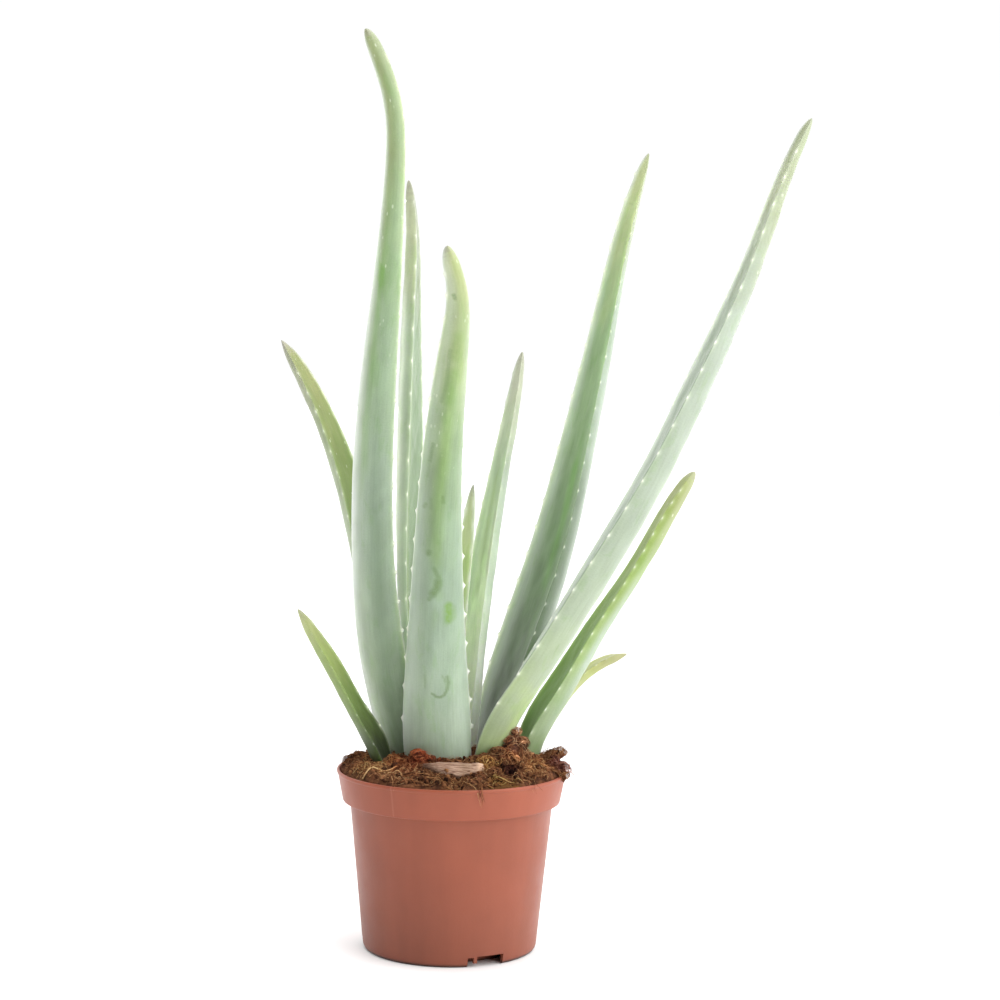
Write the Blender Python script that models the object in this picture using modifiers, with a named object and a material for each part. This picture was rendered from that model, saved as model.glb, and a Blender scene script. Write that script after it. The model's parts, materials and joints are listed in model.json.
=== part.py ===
"""A young aloe in a terracotta-coloured plastic nursery pot.

Eleven fleshy, toothed leaves stand in a mound of coir soil with one bark chip on it.
Lengths are millimetres until a mesh is made. The pot's centre line is the Z axis, the
pot stands on z = 0 and its front is toward -Y.
"""
import math

import bmesh
import bpy
import numpy as np

MM = 0.001
GAP = 0.3

# Pot: outer radii and heights
POT_HEIGHT = 94.2
RIM_RADIUS = 60.2
BAND_RADIUS = 56.9
BAND_HEIGHT = 77.9
BODY_TOP_RADIUS = 53.1
BODY_FOOT_RADIUS = 45.4
WALL = 1.2
POT_STEPS = 48

# Pot floor: a foot ring, a drain groove round a flat centre disc
FLOOR = 1.4
GROOVE_HEIGHT = 6.0
GROOVE_OUTER = 42.8
GROOVE_INNER = 36.0
DISC_RADIUS = 34.4

# Drain sites: a wide notch and a narrow slit with a shorter web between them
DRAIN_SITES = 3
NOTCH_ANGLE = 28.7
NOTCH_WIDTH = 15.0
SLIT_ANGLE = 13.0
SLIT_WIDTH = 3.2
WEB_ANGLE = 17.2
WEB_WIDTH = 4.0
WEB_CUT = 2.0

# Soil: a mound with lumps (x, y, height, radius), seeded clods and a crumbly top
SOIL_EDGE = 95.0
SOIL_RISE = 7.5
SOIL_STEPS = 56
SOIL_RINGS = 12
SOIL_LUMPS = (
    (35, -7, 11.5, 8.5),
    (22, -20, 3.0, 8),
    (-16, -24, 4.5, 6),
    (-45, -8, 4.0, 8),
    (-36, -30, 2.0, 9),
    (54, 3, 8.0, 7),
    (46, -24, 2.5, 9),
    (-30, 20, 2.0, 9),
    (10, 45, 2.5, 10),
)
CLODS = 70
CLOD_SEED = 7
CRUMB = 1.2

# Bark chip: lies on the soil in front of the plant
CHIP_LENGTH = 30.0
CHIP_WIDTH = 9.0
CHIP_THICKNESS = 2.2
CHIP_CENTRE = (1.5, -39.5, 100.4)
CHIP_TURN = 4.0
CHIP_TILT = 32.0

# Leaves: where the first tooth stands above the soil, and how the margins are cut
TOOTH_START = 9.0
TOOTH_BASE = 3.8
TOOTH_HEIGHT = 1.6
TOOTH_PITCH = 17.0
TOOTH_CLOSING = 0.25
TIP_ROUND = 10.0
TIP_BARE = 9.0
MARGIN_OFFSET = 4.0
HOLLOW = 0.08

# Each leaf has rows of x, y, z, width and the compass angle its inner face looks to
# (0 is +X, 90 is +Y), from its buried end to its tip. thick gives the thickness as a
# share of the width at the buried end and at the tip. start and pitch place the teeth,
# tooth is their height and ground the height from which they start.
LEAVES = {
    "leaf_front": {
        "rows": ((-6, -10, 80, 32, 90), (-7.5, -13, 106, 35.5, 90), (-8.5, -24, 150, 32, 90),
                 (-8, -33, 210, 25, 92), (-5.5, -42, 262, 20.5, 100), (0, -51, 315, 15.5, 110),
                 (1, -57, 344, 11.2, 115), (-5, -62, 365, 7.6, 118)),
        "thick": (0.32, 0.55), "start": 15, "colour": (0.40, 0.55, 0.42)},
    "leaf_tall_left": {
        "rows": ((-25, 8, 80, 27, 50), (-30, 5, 106, 29, 52), (-39, -8, 150, 28, 58),
                 (-44, -21, 205, 24.5, 62), (-43.5, -31, 262, 22.5, 64), (-38, -41, 330, 17, 66),
                 (-32.5, -49, 400, 11, 70), (-34, -53, 436, 9.5, 70), (-40, -55, 455, 8.5, 70),
                 (-46.5, -58, 470, 6.5, 70)),
        "thick": (0.32, 0.55), "start": 5.5, "colour": (0.38, 0.53, 0.40)},
    "leaf_upright_back": {
        "rows": ((-15, 22, 80, 20, -38), (-16.5, 22, 106, 20.5, -35), (-22.5, 24, 155, 21.5, -31),
                 (-26.4, 27, 223, 21, -25), (-26.7, 28, 290, 18, -18), (-26, 30, 345, 13.8, -12),
                 (-26, 31, 378, 9.6, -6), (-28, 31, 402, 5.4, 0)),
        "thick": (0.40, 0.70), "pitch": 20.5, "start": 23, "colour": (0.42, 0.52, 0.36)},
    "leaf_heart": {
        "rows": ((-1, 4, 82, 9, -120), (0, 4, 108, 9.5, -120), (4, 6, 182, 9.5, -120),
                 (7.5, 10, 223, 7, -120), (9, 11, 243, 3, -120)),
        "thick": (0.40, 0.60), "tooth": 0.8, "colour": (0.50, 0.60, 0.22)},
    "leaf_inner_right": {
        "rows": ((6.5, 19, 80, 15, 214), (8, 19, 106, 17.8, 215), (10.8, 20, 150, 18.8, 216),
                 (16.5, 24, 200, 17.2, 216), (25, 30, 255, 12, 214), (30.5, 34, 287, 9.2, 213),
                 (33.8, 37, 312.5, 4.2, 213)),
        "thick": (0.51, 0.63), "tooth": 0.8, "colour": (0.42, 0.57, 0.32)},
    "leaf_broad_right": {
        "rows": ((18, 30, 80, 24, 206), (22.2, 28, 106, 26.5, 207), (36, 29, 150, 31, 210),
                 (55, 36, 210, 27.7, 217), (67.3, 44, 265, 22.5, 219), (78, 54, 319, 17.2, 222),
                 (86.2, 61, 363, 13.5, 227), (93.7, 66, 395, 10.4, 230), (101, 70, 421, 4, 233)),
        "thick": (0.52, 0.64), "colour": (0.22, 0.33, 0.20)},
    "leaf_long_right": {
        "rows": ((19, 2, 80, 19, 158), (24, -2, 108, 23.5, 162), (46.3, -12, 154, 26.8, 173),
                 (71, -18, 196, 26.3, 177), (100, -25, 248, 22.8, 181), (124.1, -31, 300, 18.8, 187),
                 (149, -38, 361, 13.5, 191), (165.5, -44, 410, 9.1, 197), (174.4, -46, 431, 5, 205)),
        "thick": (0.49, 0.69), "ground": 110, "pitch": 18.3, "start": 19.5,
        "colour": (0.52, 0.66, 0.54)},
    "leaf_back_left": {
        "rows": ((-31, 35, 80, 14, -50), (-31.5, 34, 106, 16, -46), (-40.6, 31, 150, 18.2, -42),
                 (-51.3, 32, 205, 18.4, -39), (-62.9, 38, 248, 16.2, -37), (-78, 45, 284, 12.3, -35),
                 (-92, 51, 309, 6.8, -34), (-96.5, 53, 316.5, 3, -34)),
        "thick": (0.35, 0.69), "pitch": 14.2, "colour": (0.38, 0.52, 0.18)},
    "leaf_low_left": {
        "rows": ((-34, -10, 82, 13, -15), (-39, -11, 105, 16, -15), (-49.5, -15, 125, 13, -15),
                 (-61, -19, 147, 11.4, -15), (-72.5, -23, 167, 7.8, -15), (-79.5, -25, 180, 3.6, -15)),
        "thick": (0.50, 0.70), "tooth": 1.0, "pitch": 11, "colour": (0.42, 0.50, 0.18)},
    "offset_leaf_long": {
        "rows": ((38, 6, 80, 16, 186), (41.4, 6, 106, 22.3, 189), (57.2, 7, 136, 21.2, 194),
                 (75.4, 10, 167, 16.6, 194), (95.7, 13, 199, 13.5, 191), (113.6, 16, 231, 12, 191),
                 (125.6, 18, 251, 7.4, 196)),
        "thick": (0.49, 0.67), "ground": 108, "pitch": 12, "start": 5,
        "colour": (0.40, 0.55, 0.16)},
    "offset_leaf_short": {
        "rows": ((42, 20, 80, 8, 195), (46.5, 20, 106, 8.6, 195), (57, 23, 125, 9.2, 195),
                 (70, 27, 140.5, 8.6, 195), (86, 31, 149.5, 7, 195), (92.5, 33, 151.5, 4, 195)),
        "thick": (0.45, 0.65), "tooth": 0.8, "pitch": 9, "colour": (0.55, 0.55, 0.26)},
}
DEFAULT_GROUND = 104


def clear_scene():
    for old in list(bpy.data.objects):
        bpy.data.objects.remove(old, do_unlink=True)


def new_collection(name):
    collection = bpy.data.collections.new(name)
    bpy.context.scene.collection.children.link(collection)
    return collection


def new_material(name, colour, roughness):
    material = bpy.data.materials.new(name)
    material.use_nodes = True
    shader = material.node_tree.nodes["Principled BSDF"]
    shader.inputs["Base Color"].default_value = (*colour, 1)
    shader.inputs["Roughness"].default_value = roughness
    shader.inputs["Metallic"].default_value = 0
    return material


def mesh_object(name, points, faces, collection, edges=()):
    """An object from points in millimetres."""
    mesh = bpy.data.meshes.new(name)
    mesh.from_pydata([tuple(float(v) * MM for v in point) for point in points], edges, faces)
    mesh.update()
    obj = bpy.data.objects.new(name, mesh)
    collection.objects.link(obj)
    return obj


def finish(obj, material, sharp_angle=50):
    obj.data.materials.clear()
    obj.data.materials.append(material)
    obj.data.shade_smooth()
    obj.data.set_sharp_from_angle(angle=math.radians(sharp_angle))


def as_cutter(obj):
    obj.hide_render = True
    obj.display_type = "WIRE"
    return obj


def turned(name, profile, steps, collection):
    """A profile of (radius, height) points turned about Z."""
    points = [(radius, 0, height) for radius, height in profile]
    edges = [(i, i + 1) for i in range(len(points) - 1)]
    obj = mesh_object(name, points, (), collection, edges)
    screw = obj.modifiers.new("Turn", "SCREW")
    screw.axis = "Z"
    screw.steps = steps
    screw.render_steps = steps
    screw.use_merge_vertices = True
    screw.merge_threshold = 0.0001
    return obj


def freeze(obj):
    """Replace an object's mesh with its evaluated one and drop its modifiers."""
    graph = bpy.context.evaluated_depsgraph_get()
    mesh = bpy.data.meshes.new_from_object(obj.evaluated_get(graph))
    obj.modifiers.clear()
    obj.data = mesh


def cut_with(obj, cutters):
    cut = obj.modifiers.new("Cut", "BOOLEAN")
    cut.operation = "DIFFERENCE"
    cut.operand_type = "COLLECTION"
    cut.collection = cutters
    cut.solver = "EXACT"


# Pot
def pot_profile():
    """From the inner floor out, up the inside, over the rim and down the outside."""
    floor_top = GROOVE_HEIGHT + FLOOR
    inner_foot = BODY_FOOT_RADIUS + 0.6 - WALL
    return (
        (0, FLOOR), (DISC_RADIUS - 1.4, FLOOR), (GROOVE_INNER - 1.2, floor_top),
        (inner_foot, floor_top), (BODY_TOP_RADIUS - WALL, BAND_HEIGHT + WALL),
        (BAND_RADIUS - WALL + 0.1, BAND_HEIGHT + WALL), (RIM_RADIUS - 1.6, POT_HEIGHT - 0.8),
        (RIM_RADIUS - 1.1, POT_HEIGHT), (RIM_RADIUS - 0.5, POT_HEIGHT),
        (RIM_RADIUS, POT_HEIGHT - 0.6), (RIM_RADIUS, POT_HEIGHT - 1.4),
        (RIM_RADIUS - 0.5, POT_HEIGHT - 2.0), (BAND_RADIUS + 0.2, BAND_HEIGHT + 0.8),
        (BAND_RADIUS - 0.3, BAND_HEIGHT), (BODY_TOP_RADIUS + 0.4, BAND_HEIGHT),
        (BODY_TOP_RADIUS, BAND_HEIGHT - 0.6), (BODY_FOOT_RADIUS + 0.4, 3.6),
        (BODY_FOOT_RADIUS - 0.1, 1.3), (BODY_FOOT_RADIUS - 1.0, 0.2),
        (BODY_FOOT_RADIUS - 1.5, 0), (GROOVE_OUTER + 0.4, 0),
        (GROOVE_OUTER, GROOVE_HEIGHT), (GROOVE_INNER, GROOVE_HEIGHT), (DISC_RADIUS, 0), (0, 0),
    )


def drain_box(name, angle, radii, width, heights, collection):
    """A box across the foot ring at an angle from the front, turned toward +X."""
    obj = bpy.data.objects.new(name, bpy.data.meshes.new(name))
    collection.objects.link(obj)
    box = bmesh.new()
    bmesh.ops.create_cube(box, size=1)
    size = (width * MM, (radii[1] - radii[0]) * MM, (heights[1] - heights[0]) * MM)
    bmesh.ops.scale(box, vec=size, verts=box.verts)
    box.to_mesh(obj.data)
    box.free()
    turn = math.radians(angle)
    middle = sum(radii) / 2 * MM
    obj.location = (middle * math.sin(turn), -middle * math.cos(turn), sum(heights) / 2 * MM)
    obj.rotation_euler = (0, 0, turn)
    return as_cutter(obj)


def make_pot(parts):
    pot = turned("pot", pot_profile(), POT_STEPS, parts)
    drains = new_collection("drain_cutters")
    for site in range(DRAIN_SITES):
        turn = site * 360 / DRAIN_SITES
        across_foot = (GROOVE_OUTER - 3.0, RIM_RADIUS)
        drain_box(f"notch_{site}", turn + NOTCH_ANGLE, across_foot, NOTCH_WIDTH,
                  (-2, GROOVE_HEIGHT - 0.4), drains)
        drain_box(f"slit_{site}", turn + SLIT_ANGLE, across_foot, SLIT_WIDTH,
                  (-2, GROOVE_HEIGHT - 0.9), drains)
        drain_box(f"web_{site}", turn + WEB_ANGLE, across_foot, WEB_WIDTH,
                  (-2, WEB_CUT), drains)
        drain_box(f"hole_{site}", turn + NOTCH_ANGLE, (GROOVE_INNER + 0.8, GROOVE_OUTER - 1.0),
                  NOTCH_WIDTH - 4, (GROOVE_HEIGHT - 1, GROOVE_HEIGHT + FLOOR + 1), drains)
    cut_with(pot, drains)
    freeze(pot)
    finish(pot, new_material("pot_plastic", (0.50, 0.19, 0.12), 0.42), 35)
    return pot


# Leaves
def smooth_curve(rows):
    """A natural cubic curve through the rows, as a function of 0 to 1, and its length."""
    rows = np.array(rows, float)
    knots = np.r_[0, np.cumsum(np.linalg.norm(np.diff(rows[:, :3], axis=0), axis=1))]
    length = knots[-1]
    knots = knots / length
    gap = np.diff(knots)
    count = len(rows)
    left = np.eye(count)
    right = np.zeros_like(rows)
    for i in range(1, count - 1):
        left[i, i - 1:i + 2] = gap[i - 1], 2 * (gap[i - 1] + gap[i]), gap[i]
        slope_after = (rows[i + 1] - rows[i]) / gap[i]
        slope_before = (rows[i] - rows[i - 1]) / gap[i - 1]
        right[i] = 6 * (slope_after - slope_before)
    bend = np.linalg.solve(left, right)

    def at(share):
        share = np.asarray(share, float)
        i = np.clip(np.searchsorted(knots, share) - 1, 0, count - 2)
        after = (share - knots[i])[..., None]
        before = (knots[i + 1] - share)[..., None]
        step = gap[i][..., None]
        curved = (bend[i] * before**3 + bend[i + 1] * after**3) / (6 * step)
        to_next = (rows[i + 1] / step - bend[i + 1] * step / 6) * after
        to_last = (rows[i] / step - bend[i] * step / 6) * before
        return curved + to_next + to_last
    return at, length


# The leaf's section, as shares across (-1 to 1) and of the hollow or the thickness:
# one margin, the hollow inner face, the other margin, then the round outer face.
SECTION_ACROSS = np.array((1, 0.55, 0, -0.55, -1, -0.80, -0.42, 0, 0.42, 0.80))
SECTION_HOLLOW = np.array((0, 0.8, 1, 0.8, 0, 0, 0, 0, 0, 0))
SECTION_ROUND = np.array((0, 0, 0, 0, 0, 0.50, 0.86, 1, 0.86, 0.50))
MARGINS = ((0, 1), (4, -1))


def leaf_stations(at, length, leaf):
    """Distances up the leaf, each with True where the ring carries the tooth tips."""
    shares = np.linspace(0, 1, 400)
    ground = leaf.get("ground", DEFAULT_GROUND)
    first = length * shares[np.argmax(at(shares)[:, 2] > ground)]
    stations = [(0, False), (first - 5, False)]
    tooth = first + leaf.get("start", TOOTH_START)
    while tooth < length - TIP_BARE:
        stations += [(tooth - TOOTH_BASE / 2, False), (tooth, True),
                     (tooth + TOOTH_BASE / 2, False)]
        tooth += leaf.get("pitch", TOOTH_PITCH) * (1 - TOOTH_CLOSING * tooth / length)
    for tip_end in (length - 4.5, length - 1.6):
        if tip_end > stations[-1][0] + 1.5:
            stations.append((tip_end, False))
    return stations, first


def leaf_ring(at, length, first, leaf, distance, has_teeth, grow=0):
    """One ring of points round the leaf; grow moves it outward."""
    share = distance / length
    fade = min(1, max(0, (distance - first) / 25), (length - distance) / 25)
    shares = np.clip(share + MARGIN_OFFSET * fade * SECTION_ACROSS / length, 0, 1)
    row = at(shares)
    step = 0.001
    along = (at(np.clip(shares + step, 0, 1)) - at(np.clip(shares - step, 0, 1)))[:, :3]
    along /= np.linalg.norm(along, axis=1)[:, None]
    angle = np.radians(row[:, 4])
    level = np.c_[np.cos(angle), np.sin(angle), np.zeros(len(angle))]
    inward = level - (along * level).sum(1)[:, None] * along
    inward /= np.linalg.norm(inward, axis=1)[:, None]
    side = np.cross(along, inward)
    left_over = np.clip(1 - length * (1 - shares) / TIP_ROUND, 0, 1)
    width = row[:, 3] * np.sqrt(1 - left_over**2)
    thick = leaf["thick"][0] + (leaf["thick"][1] - leaf["thick"][0]) * share
    depth = thick / 2 - SECTION_HOLLOW * HOLLOW * (1 - share) - SECTION_ROUND * thick
    ring = row[:, :3] + side * (SECTION_ACROSS * width / 2)[:, None] + inward * (depth * width)[:, None]
    if has_teeth:
        height = leaf.get("tooth", TOOTH_HEIGHT) * (1 - 0.45 * share)
        for index, sign in MARGINS:
            ring[index] += side[index] * sign * height + along[index] * 0.5 * height
    if grow:
        outward = np.where(SECTION_ROUND > 0, -1, 1)
        spread = np.where(np.abs(SECTION_ACROSS) > 0.3, np.sign(SECTION_ACROSS), 0)
        ring += grow * (side * spread[:, None] + inward * outward[:, None])
    return ring


def loft_faces(rings, sides):
    faces = []
    for low in range(0, (rings - 1) * sides, sides):
        for i in range(sides):
            j = (i + 1) % sides
            faces.append((low + i, low + sides + j, low + j))
            faces.append((low + i, low + sides + i, low + sides + j))
    return faces


def make_leaf(name, leaf, parts):
    at, length = smooth_curve(leaf["rows"])
    stations, first = leaf_stations(at, length, leaf)
    rings = [leaf_ring(at, length, first, leaf, *station) for station in stations]
    sides = len(SECTION_ACROSS)
    points = np.vstack(rings + [at(1.0)[None, :3]])
    faces = loft_faces(len(rings), sides)
    top = (len(rings) - 1) * sides
    tip = len(points) - 1
    faces += [(top + (i + 1) % sides, top + i, tip) for i in range(sides)]
    faces.append(tuple(range(sides)))
    obj = mesh_object(name, points, faces, parts)
    finish(obj, new_material(name + "_skin", leaf["colour"], 0.38), 60)
    return obj


def make_leaf_hole(name, leaf, cutters):
    """The buried end of a leaf, grown by the gap and carried up past the soil."""
    at, length = smooth_curve(leaf["rows"])
    stations, first = leaf_stations(at, length, leaf)
    reach = [distance for distance, _ in stations[:3]] + [first + TOOTH_START + 8]
    rings = [leaf_ring(at, length, first, leaf, distance, False, GAP + 0.1) for distance in reach]
    rings[0][:, 2] -= GAP
    sides = len(SECTION_ACROSS)
    faces = loft_faces(len(rings), sides)
    top = (len(rings) - 1) * sides
    faces.append(tuple(range(sides)))
    faces.append(tuple(top + i for i in reversed(range(sides))))
    return as_cutter(mesh_object(name + "_hole", np.vstack(rings), faces, cutters))


# Bark chip
def chip_mesh(name, grow, raised, collection):
    """A flat splinter, pointed at its left end; raised lifts its top for the cutter."""
    obj = bpy.data.objects.new(name, bpy.data.meshes.new(name))
    collection.objects.link(obj)
    chip = bmesh.new()
    bmesh.ops.create_cube(chip, size=1)
    lengthwise = [edge for edge in chip.edges
                  if abs(edge.verts[0].co.x - edge.verts[1].co.x) > 0.5]
    bmesh.ops.subdivide_edges(chip, edges=lengthwise, cuts=5, use_grid_fill=True)
    for vert in chip.verts:
        along, across, up = vert.co * 2
        half_width = CHIP_WIDTH / 2 * (0.12 + 0.88 * math.sqrt(1 - ((along - 0.25) / 1.26)**2))
        half_width *= 1 + 0.10 * math.sin(5 * along + 2 * across)
        half_thick = CHIP_THICKNESS / 2 * (1 - 0.35 * along**2)
        bow = 0.9 * (1 - along**2) + 0.25 * math.sin(7 * along)
        vert.co = (along * (CHIP_LENGTH / 2 + grow), across * (half_width + grow),
                   up * (half_thick + grow) + bow + (raised if up > 0 else 0))
    bmesh.ops.scale(chip, vec=(MM, MM, MM), verts=chip.verts)
    bmesh.ops.triangulate(chip, faces=chip.faces)
    chip.to_mesh(obj.data)
    chip.free()
    obj.location = [v * MM for v in CHIP_CENTRE]
    obj.rotation_euler = (math.radians(CHIP_TILT), 0, math.radians(CHIP_TURN))
    return obj


# Soil
def soil_profile():
    """The mound from its middle out, then down just inside the pot's inner wall."""
    inner_foot = BODY_FOOT_RADIUS + 0.6 - WALL
    edge_radius = RIM_RADIUS - 1.6 - GAP
    radii = [edge_radius * (i / SOIL_RINGS)**0.85 for i in range(SOIL_RINGS)]
    mound = [(radius, SOIL_EDGE + SOIL_RISE * (1 - (radius / edge_radius)**2)) for radius in radii]
    return mound + [
        (edge_radius - 0.2, POT_HEIGHT - 1.8),
        (BAND_RADIUS - WALL + 0.1 - GAP, BAND_HEIGHT + WALL + GAP),
        (BODY_TOP_RADIUS - WALL - GAP, BAND_HEIGHT + WALL + GAP),
        (inner_foot - GAP, GROOVE_HEIGHT + FLOOR + GAP),
        (GROOVE_INNER - 1.2 - GAP, GROOVE_HEIGHT + FLOOR + GAP),
        (DISC_RADIUS - 1.4 - GAP, FLOOR + GAP), (0, FLOOR + GAP),
    ]


def clods(draw):
    """Seeded lumps and pits as (x, y, height, radius)."""
    lumps = []
    for _ in range(CLODS):
        angle = draw.uniform(0, 2 * math.pi)
        radius = 55 * math.sqrt(draw.uniform(0, 1))
        lumps.append((radius * math.cos(angle), radius * math.sin(angle),
                      draw.uniform(-2.0, 2.6), draw.uniform(3.5, 7.0)))
    return lumps


def soil_relief(x, y, lumps):
    return sum(height * math.exp(-((x - cx)**2 + (y - cy)**2) / (radius**2))
               for cx, cy, height, radius in lumps)


def make_soil(parts):
    soil = turned("soil", soil_profile(), SOIL_STEPS, parts)
    freeze(soil)
    draw = np.random.default_rng(CLOD_SEED)
    lumps = list(SOIL_LUMPS) + clods(draw)
    for vert in soil.data.vertices:
        if vert.co.z > (SOIL_EDGE - 0.5) * MM:
            relief = soil_relief(vert.co.x / MM, vert.co.y / MM, lumps)
            vert.co.z += (relief + draw.uniform(-CRUMB, CRUMB)) * MM
    holes = new_collection("soil_cutters")
    for name, leaf in LEAVES.items():
        make_leaf_hole(name, leaf, holes)
    as_cutter(chip_mesh("bark_chip_seat", GAP, 14, holes))
    cut_with(soil, holes)
    freeze(soil)
    finish(soil, new_material("coir_soil", (0.12, 0.055, 0.03), 0.95), 40)
    return soil


def main():
    clear_scene()
    parts = new_collection("potted_aloe")
    make_pot(parts)
    make_soil(parts)
    chip = chip_mesh("bark_chip", 0, 0, parts)
    finish(chip, new_material("bark", (0.50, 0.33, 0.22), 0.85), 40)
    for name, leaf in LEAVES.items():
        make_leaf(name, leaf, parts)


main()
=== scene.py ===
"""Finished looks of the potted aloe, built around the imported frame.

Lengths are millimetres until a mesh is made. The pot's centre line is the Z axis, the
pot stands on z = 0 and its front is toward -Y.
"""

import json
from math import cos, exp, hypot, pi, radians, sin, sqrt

import bmesh
import bpy
import numpy as np
from mathutils import Euler, Matrix, Vector, noise

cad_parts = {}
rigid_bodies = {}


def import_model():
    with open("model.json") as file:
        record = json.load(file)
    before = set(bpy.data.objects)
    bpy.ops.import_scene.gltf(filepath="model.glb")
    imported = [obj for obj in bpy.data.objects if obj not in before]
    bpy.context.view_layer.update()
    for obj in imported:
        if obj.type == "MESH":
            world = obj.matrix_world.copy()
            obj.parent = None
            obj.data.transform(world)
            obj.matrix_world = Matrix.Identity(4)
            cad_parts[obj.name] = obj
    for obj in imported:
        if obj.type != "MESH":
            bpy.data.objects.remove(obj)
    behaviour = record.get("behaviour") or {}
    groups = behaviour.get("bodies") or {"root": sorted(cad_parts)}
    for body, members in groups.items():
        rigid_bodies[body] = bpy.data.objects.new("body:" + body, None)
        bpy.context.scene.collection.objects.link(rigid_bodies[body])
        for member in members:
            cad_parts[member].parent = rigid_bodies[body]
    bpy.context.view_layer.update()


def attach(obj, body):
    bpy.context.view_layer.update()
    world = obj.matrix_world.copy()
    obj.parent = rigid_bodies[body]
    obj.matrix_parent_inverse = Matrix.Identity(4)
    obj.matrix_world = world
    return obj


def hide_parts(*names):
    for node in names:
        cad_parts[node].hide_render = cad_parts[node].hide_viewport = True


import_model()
MM = 0.001
FULL_TURN = 2 * pi

# Camera, fitted to the rim and the foot of the pot: metres, degrees and millimetres
CAMERA_PLACE = (0.023, -1.228, 0.327)
CAMERA_PITCH = 4.25
CAMERA_ROLL = 0.92
CAMERA_LENS = 85.2
CAMERA_NEAR = 0.05

# Studio: the room's strength in front and behind and where it changes, the white that
# the camera sees, and soft boxes as the way toward each, the angles where it is full and
# where it ends, and its strength. The floor's radius is in metres
ROOM_FRONT = 0.05
ROOM_BACK = 1.3
ROOM_CHANGE = (-0.5, 0.6)
CAMERA_WHITE = 1.02
SOFT_BOXES = (
    ((0, 0, 1), 20, 60, 1.9),
    ((0.88, -0.42, 0.35), 12, 45, 3.5),
    ((0.64, -0.77, 0.25), 10, 35, 0.6),
    ((-0.75, -0.6, 0.4), 12, 40, 0.1),
)
STUDIO_FLOOR_RADIUS = 8

# Pot: outer radii and heights, and the drains' places in degrees from the front toward +X
POT_HEIGHT = 94.2
RIM_RADIUS = 60.2
BAND_RADIUS = 56.9
BAND_HEIGHT = 77.9
BODY_TOP_RADIUS = 53.1
BODY_FOOT_RADIUS = 45.4
WALL = 1.2
POT_FLOOR = 1.4
INNER_BAND_RADIUS = BAND_RADIUS - WALL + 0.1
INNER_FOOT_RADIUS = BODY_FOOT_RADIUS - WALL + 0.6
INNER_STEP_HEIGHT = BAND_HEIGHT + WALL
POT_STEPS = 240
SHARP_ANGLE = 38
GROOVE_HEIGHT = 6
GROOVE_OUTER = 42.8
GROOVE_INNER = 36
DISC_RADIUS = 34.4
DRAIN_SITES = 3
NOTCH_ANGLE = 28.7
NOTCH_WIDTH = 15
SLIT_ANGLE = 15
SLIT_WIDTH = 3.2
WEB_ANGLE = 17.2
WEB_WIDTH = 4
WEB_CUT = 2
CUT_BOTTOM = -2
SEAM_ANGLE = radians(-29.5)

# Soil: a mound from its edge up to the middle, the radius from which it drops to the
# wall, its gap to the pot, lumps (x, y, height, radius) and roughness (size, height)
SOIL_EDGE = 95
SOIL_RISE = 7.5
SOIL_RADIUS = 58.3
SOIL_DROP_RADIUS = 55
SOIL_GAP = 0.3
SOIL_RINGS = 96
SOIL_STEPS = 360
SOIL_LUMPS = (
    (33, -7, 13, 8), (22, -20, 3, 8), (-16, -24, 4.5, 6), (-45, -8, 4, 8), (-36, -30, 2, 9),
    (54, 3, 8, 7), (46, -24, 2.5, 9), (-30, 20, 2, 9), (10, 45, 2.5, 10),
)
SOIL_ROUGHNESS = ((9, 2.6), (4.2, 1.7), (1.9, 0.9), (0.9, 0.4))

# Tints of the coir by place: x, y, radius and what the colour is multiplied by
SOIL_TINTS = (
    (-52, 2, 14, (0.72, 0.64, 0.64)), (-40, -26, 15, (1.45, 1.65, 1.5)),
    (-20, -24, 16, (1.12, 0.86, 0.8)), (-15, -22, 8, (1.25, 0.92, 0.95)),
    (0, -52, 14, (0.85, 0.85, 0.8)), (19, -28, 9, (1.5, 1.65, 1.25)),
    # The near-black tint at (30, -30) is the painted shade of a hollow in the soil
    (30, -10, 9, (1.3, 1.1, 1.05)), (30, -30, 7, (0.22, 0.17, 0.24)),
    (28, -50, 10, (0.9, 1.02, 0.72)), (41, -22, 12, (1.7, 1.75, 1.6)),
    (33, -7, 8, (1.25, 1.6, 2)), (50, -12, 6, (0.6, 0.5, 0.46)), (58, -8, 9, (0.92, 0.76, 1.15)),
)

# Clods of matted coir: x, y, radius and height of the middle over the soil, with a core
# a little lower and smaller and so many fibres per millimetre of radius
CLODS = (
    (-53, -2, 4.5, 0.5), (-49, 12, 5, 0.5), (-44, -22, 5, -1), (-38, -32, 4, -1),
    (-30, -16, 4, 0), (-24, -30, 5, -1), (-17, -25, 4.5, 0), (-12, -40, 3.5, -1),
    (18, -26, 5, 0.5), (24, -14, 4.5, 0), (22, -40, 4, -1), (37, -26, 5.5, 0),
    (44, -16, 5, 1), (33, -8, 3.4, 3.5), (30, -8, 4, 0), (36.5, -8, 4, -1), (46, -30, 4, -1),
    (51, -8, 4.5, 0.5), (57.5, -9, 4.6, 1.5), (56, 6, 4.5, 0.5), (58, -17, 3.5, 0),
    (8, -50, 3.5, -1),
)
CLOD_CORE_DROP = 0.4
CLOD_CORE_SIZE = 0.78
CLOD_FIBRES = 26

# Loose coir: how much, how far from the pot's centre line, and the fibres' radii
SCATTER_SEED = 11
SCATTER_RADIUS = 57
CRUMB_COUNT = 2600
CRUMB_FORMS = 24
FIBRE_COUNT = 3600
FIBRE_LIMIT = 58
FIBRE_SIDES = 4
FINE_FIBRE = (0.06, 0.17)
COARSE_FIBRE = (0.25, 0.55)

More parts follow.
